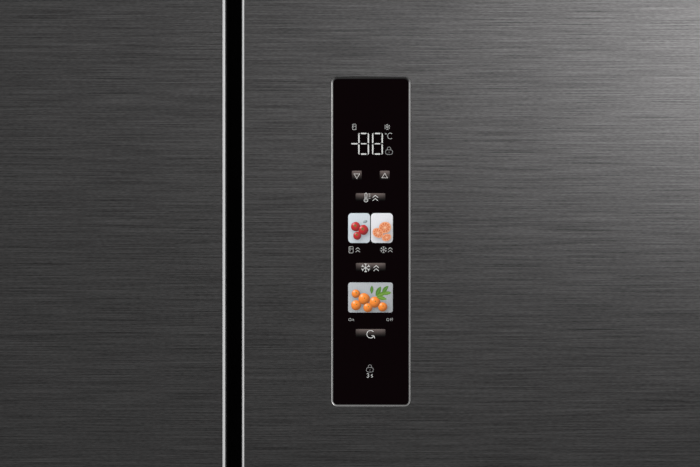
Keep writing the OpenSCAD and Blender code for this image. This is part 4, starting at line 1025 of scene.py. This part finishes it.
def louvre_depth(x, z):
    """One inside a louvre and zero outside it, with a slope of 1.6 mm."""
    wide = ramp(louvre_half - np.abs(np.abs(x) - louvre_x), -0.8, 0.8)
    tall = ramp(louvre_h / 2 - np.abs(z[..., None] - louvres).min(-1), -0.8, 0.8)
    return wide * tall

def duct_face(x, z):
    """The distance in from the round outline raises the cover; a louvre sinks it again."""
    q = np.stack([np.abs(x) - DUCT_HALF + DUCT_R,
                  np.abs(z - (duct_low + duct_high) / 2) - (duct_high - duct_low) / 2 + DUCT_R], -1)
    inside = DUCT_R - np.linalg.norm(np.maximum(q, 0), axis=-1) - np.minimum(q.max(-1), 0)
    return wall_y + 0.5 - (DUCT_D + 0.5) * ramp(inside, 0, 3) + LOUVRE_D * louvre_depth(x, z)

def duct_paint_with_louvre_shade(x, z):
    """White, and nearly black inside a louvre: painted shade of the open duct behind."""
    return 0.76 - 0.72 * louvre_depth(x, z)[..., None] * np.array((1.0, 1.0, 0.99))

side_edges = np.array([s * (louvre_x + t * louvre_half) for s in (-1, 1) for t in (-1, 1)])
row_edges = np.concatenate([louvres - louvre_h / 2, louvres + louvre_h / 2])
duct = Batch()
relief(duct, duct_lines(-DUCT_HALF, DUCT_HALF, side_edges, 0.8),
       duct_lines(duct_low, duct_high, row_edges, 0.8), duct_face, wall_y + 0.5, duct_paint_with_louvre_shade)
satin_white = tinted("satin_white", 0.0, 0.35, 0.02)
duct.make("air_duct", "cabinet", satin_white, "white_liner")
print("duct", round(duct_high - duct_low), "mm high with", 2 * len(louvres), "louvres")

# %% [markdown]
# Clear bins and baskets get a rim, which stiffens the edge and gives the fingers something to hold. On
# a bin it runs round the low front, on a basket all the way round, and on a crisper it is a straight
# pull over the finger recess. All are one soft section swept along a path.

# %% Rims and pulls
def bin_rim(name):
    """Out of the door's side along one flank, round the front corners and back, rising a little."""
    low, high = box_mm(name)
    corner, inset, back = 16.0, 1.4, high[1] - 62
    left, right, front = low[0] + inset, high[0] - inset, high[1] - inset
    flat = np.vstack([[(left, back)], [(left, back + 30)],
                      arc_line(left + corner, front - corner, corner, 180, 90, 9),
                      arc_line(right - corner, front - corner, corner, 90, 0, 9),
                      [(right, back + 30)], [(right, back)]])
    tall = high[2] - low[2]
    rise = low[2] + tall * 0.66 + (high[1] - flat[:, 1]) / (high[1] - low[1] - 34) * tall * 0.06
    return np.column_stack([flat, rise + 0.6])


def basket_rim(name):
    """A rectangle with round corners along the middle of the basket's wall, at its top."""
    low, high = box_mm(name)
    points = vertices(name)
    top = points[points[:, 2] > high[2] * MM - 1e-5] / MM
    left, right, front, back = top[:, 0].min(), top[:, 0].max(), top[:, 1].min(), top[:, 1].max()
    flat = round_rect((left + right) / 2, (front + back) / 2, right - left - 2.6, back - front - 2.6, 21, 8)
    return np.column_stack([flat, np.full(len(flat), high[2] + 0.8)])


satin_silver = tinted("satin_silver", 0.0, 0.32, 0.04, 0.85)
rim_section = oval(4.2, 8.0)
for name in BINS:
    rim = Batch()
    swept(rim, bin_rim(name), rim_section, (0.5, 0.51, 0.52))
    rim.make(name.replace("_bin_", "_rim_"), name, satin_silver, "chrome_rim", smooth=True)
for drawer in ("upper", "lower"):
    rim = Batch()
    swept(rim, basket_rim(f"{drawer}_basket"), oval(5.6, 5.0), (0.66, 0.67, 0.67), closed=True)
    rim.make(f"{drawer}_basket_rim", f"{drawer}_drawer", satin_white, "white_liner", smooth=True)
crisper_low, crisper_high = box_mm("crispers")
pulls = Batch()
for side in (-1, 1):
    ends = np.linspace(14, crisper_high[0] - 10, 24) * side
    bow = crisper_low[1] - 1.2 - 1.2 * np.sin(np.pi * np.linspace(0, 1, 24))
    swept(pulls, np.column_stack([ends, bow, np.full(24, crisper_high[2] - 9.5)]), oval(3.6, 14.0, 16),
          (0.66, 0.67, 0.68))
pulls.make("crisper_pulls", "cabinet", satin_white, "grey_plastic", smooth=True)
print("rims 8, pulls 2")

# %% [markdown]
# The back stands against a wall. Screws hold its thin sheet, the machine-room cover and the hinge
# covers. Their heads are sunk nearly flush, so a head is a low turned form and its cross recess is a
# dark tint, painted shade in place of the recess. Behind the cover, copper pipes take the cold gas to
# the compressor and the hot gas from it to the condenser. They start at the compressor's own stubs.

# %% Screws
def screw_tint_with_cross_shade(a, b):
    """Dark where the smaller of the two coordinates is under 0.6 mm, out to 2.6 mm: painted shade of the
    cross recess.
    """
    cross = (np.minimum(np.abs(a), np.abs(b)) < 0.6) & (np.hypot(a, b) < 2.6)
    return np.where(cross[..., None], 0.05, 0.5) * np.ones(3)


HEAD = [(0, -0.6), (4.3, -0.6), (4.3, 0.02)] + [(r, 0.12) for r in (4.0, 3.3, 2.5, 1.7, 0.9, 0)]
back_low, back_high = box_mm("back_panel")
rear, edge_x = back_high[1], back_high[0] - 11
sheet_z = np.linspace(back_low[2] + 30, back_high[2] - 25, 7)
spots = [(side * edge_x, z) for side in (-1, 1) for z in sheet_z]
spots += [(x, back_high[2] - 12) for x in (-270, -90, 90, 270)]
cover_low, cover_high = box_mm("machine_cover")
spots += [(x, z) for x in (-edge_x, -190, 0, 190, edge_x) for z in (cover_low[2] + 12, cover_high[2] - 12)]
screws = Batch()
for x, z in spots:
    turned(screws, (x, rear, z), (0, 1, 0), HEAD, screw_tint_with_cross_shade)
cap_high = box_mm("hinge_covers")[1]
for side in (-1, 1):
    turned(screws, (side * (cap_high[0] - 18), cap_high[1] - 22, cap_high[2]), (0, 0, 1), HEAD, screw_tint_with_cross_shade)
screws.make("screws", "cabinet", tinted("screw_zinc", 0.0, 0.35, 0.05, 0.9), "rail_steel")
print("screws", len(spots) + 2)

# %% Copper pipes
def smooth_path(knots, per=7):
    """Catmull-Rom curve: from knot b to c it is half of 2b + (c - a)t + (2a - 5b + 4c - d)t^2
    + (3b - a - 3c + d)t^3."""
    knots = np.asarray(knots, float)
    padded = np.vstack([2 * knots[0] - knots[1], knots, 2 * knots[-1] - knots[-2]])
    a, b, c, d = (padded[k:len(padded) - 3 + k, None] for k in range(4))
    t = np.linspace(0, 1, per, endpoint=False)[None, :, None]
    curve = b + ((c - a) * t + (2 * a - 5 * b + 4 * c - d) * t**2 + (3 * b - a - 3 * c + d) * t**3) / 2
    return np.vstack([curve.reshape(-1, 3), knots[-1:]])


def ring(radius, count=12):
    """A circle's points: radius times cosine and sine."""
    return radius * np.stack([np.cos(around(count)), np.sin(around(count))], -1)


comp_low, comp_high = box_mm("compressor")
comp_x, comp_y = (comp_low[0] + comp_high[0]) / 2, (comp_low[1] + comp_high[1]) / 2
coil_high = box_mm("condenser")[1]
roof = cover_high[2] + 1
suction_z, hot_z = comp_low[2] + 93, comp_low[2] + 60
left_x, right_x, coil_x = comp_low[0], comp_high[0], coil_high[0]
suction = smooth_path([(left_x + 3, comp_y, suction_z), (left_x - 12, comp_y, suction_z + 2),
                       (left_x - 24, comp_y + 14, suction_z + 20), (left_x - 30, comp_y + 38, roof - 45),
                       (left_x - 32, comp_y + 52, roof - 15), (left_x - 32, comp_y + 54, roof)])
hot_y = rear - 14
hot = smooth_path([(right_x - 3, comp_y, hot_z), (right_x + 14, comp_y, hot_z + 1),
                   (right_x + 28, comp_y + 14, hot_z + 8), (right_x + 28, hot_y - 26, hot_z + 18),
                   (right_x + 12, hot_y - 3, hot_z + 27), (comp_x, hot_y, hot_z + 40),
                   (left_x - 60, hot_y, hot_z + 52), (coil_x + 60, hot_y, hot_z + 60),
                   (coil_x + 16, hot_y - 8, hot_z + 64), (coil_x + 1, coil_high[1] - 14, hot_z + 66)])
pipes = Batch()
COPPER = (0.62, 0.28, 0.16)
swept(pipes, suction, ring(4.2), COPPER, up=(0.3, -1.0, 0.12))
swept(pipes, hot, ring(3.2), COPPER, up=(0.02, 0.1, 1.0))
pipes.make("copper_pipes", "cabinet", tinted("copper", 0.0, 0.3, 0.1, 1.0), "coil_metal", smooth=True)
print("pipe points", len(suction) + len(hot))

# %% [markdown]
# Light: a soft box at the upper right in front, which gives the doors their slow fall from light to
# dark, a weaker one at the left, one behind, and a plain grey world. The floor is pale. Far from the
# object, what the camera, the reflections and the glass see of floor and world is plain white. A ring
# of many lamps would be more even, but the doors would lose the shading that tells steel from paint.

# %% World and lamps
def soft_box(name, place, target, size, power):
    """A square area lamp that faces a point."""
    data = bpy.data.lights.new(name, "AREA")
    data.shape, data.size, data.energy = "SQUARE", size, power
    box = linked(name, data)
    aim = np.array(target) - np.array(place)
    box.location = place
    box.rotation_euler = (math.acos(-aim[2] / np.linalg.norm(aim)), 0, math.atan2(-aim[0], aim[1]))


def seen_ray(tree):
    """One for camera, glossy and transmission rays, and zero for the light that falls on the object."""
    rays = tree.nodes.new("ShaderNodeLightPath").outputs
    seen = rays["Is Camera Ray"]
    for kind in ("Is Glossy Ray", "Is Transmission Ray"):
        either = tree.nodes.new("ShaderNodeMath")
        either.operation = "MAXIMUM"
        tree.links.new(seen, either.inputs[0])
        tree.links.new(rays[kind], either.inputs[1])
        seen = either.outputs[0]
    return seen


soft_box("key_box", (1.3, -3.2, 1.9), (0.1, -0.3, 1.2), 0.8, 63)
soft_box("fill_box", (-2.8, -2.4, 2.2), (0, 0, 0.9), 2.0, 34)
soft_box("back_box", (-1.2, 3.4, 2.6), (0, 0.3, 0.9), 2.0, 40)

world = bpy.data.worlds.new("studio")
bpy.context.scene.world = world
world.use_nodes = True
tree = world.node_tree
ambient = tree.nodes["Background"]
ambient.inputs["Color"].default_value = (0.62, 0.63, 0.65, 1.0)
ambient.inputs["Strength"].default_value = 0.54
backdrop = tree.nodes.new("ShaderNodeBackground")
backdrop.inputs["Color"].default_value = (1.0, 1.0, 1.0, 1.0)
chooser = tree.nodes.new("ShaderNodeMixShader")
for k, source in enumerate((seen_ray(tree), ambient.outputs[0], backdrop.outputs[0])):
    tree.links.new(source, chooser.inputs[k])
tree.links.new(chooser.outputs[0], tree.nodes["World Output"].inputs["Surface"])
print("world and lamps set")

# %% [markdown]
# The floor is one pale square that catches the shadow. Left plain, its far edge would cut the view, so
# its shader fades into the world's white with the distance from the object.

# %% The floor
FLOOR, FADE_START, FADE_END = 12.0, 0.7, 2.4
floor_mesh = bpy.data.meshes.new("floor")
floor_mesh.from_pydata([(-FLOOR, -FLOOR, 0), (FLOOR, -FLOOR, 0), (FLOOR, FLOOR, 0), (-FLOOR, FLOOR, 0)],
                       [], [(0, 1, 2, 3)])
floor = linked("floor", floor_mesh)
pale = Finish("pale_floor", (0.78, 0.78, 0.77), 0.7)
pale.shade(pale.noise(3.0, 2.0), 0.02)
far = pale.add("ShaderNodeVectorMath", operation="LENGTH", in_0=pale.place).outputs["Value"]
fading = pale.add("ShaderNodeMapRange", interpolation_type="SMOOTHSTEP", in_Value=far,
                  in_From_Min=FADE_START, in_From_Max=FADE_END).outputs[0]
glow = pale.add("ShaderNodeEmission", in_Color=(1.0, 1.0, 1.0, 1.0))
faded = pale.add("ShaderNodeMixShader", in_0=pale.math("MULTIPLY", fading, seen_ray(pale.tree)),
                 in_1=pale.shader.outputs[0], in_2=glow.outputs[0])
pale.tree.links.new(faded.outputs[0], pale.tree.nodes["Material Output"].inputs["Surface"])
floor_mesh.materials.append(pale.material)
bpy.context.scene.view_settings.view_transform = "Standard"
print("stage set")
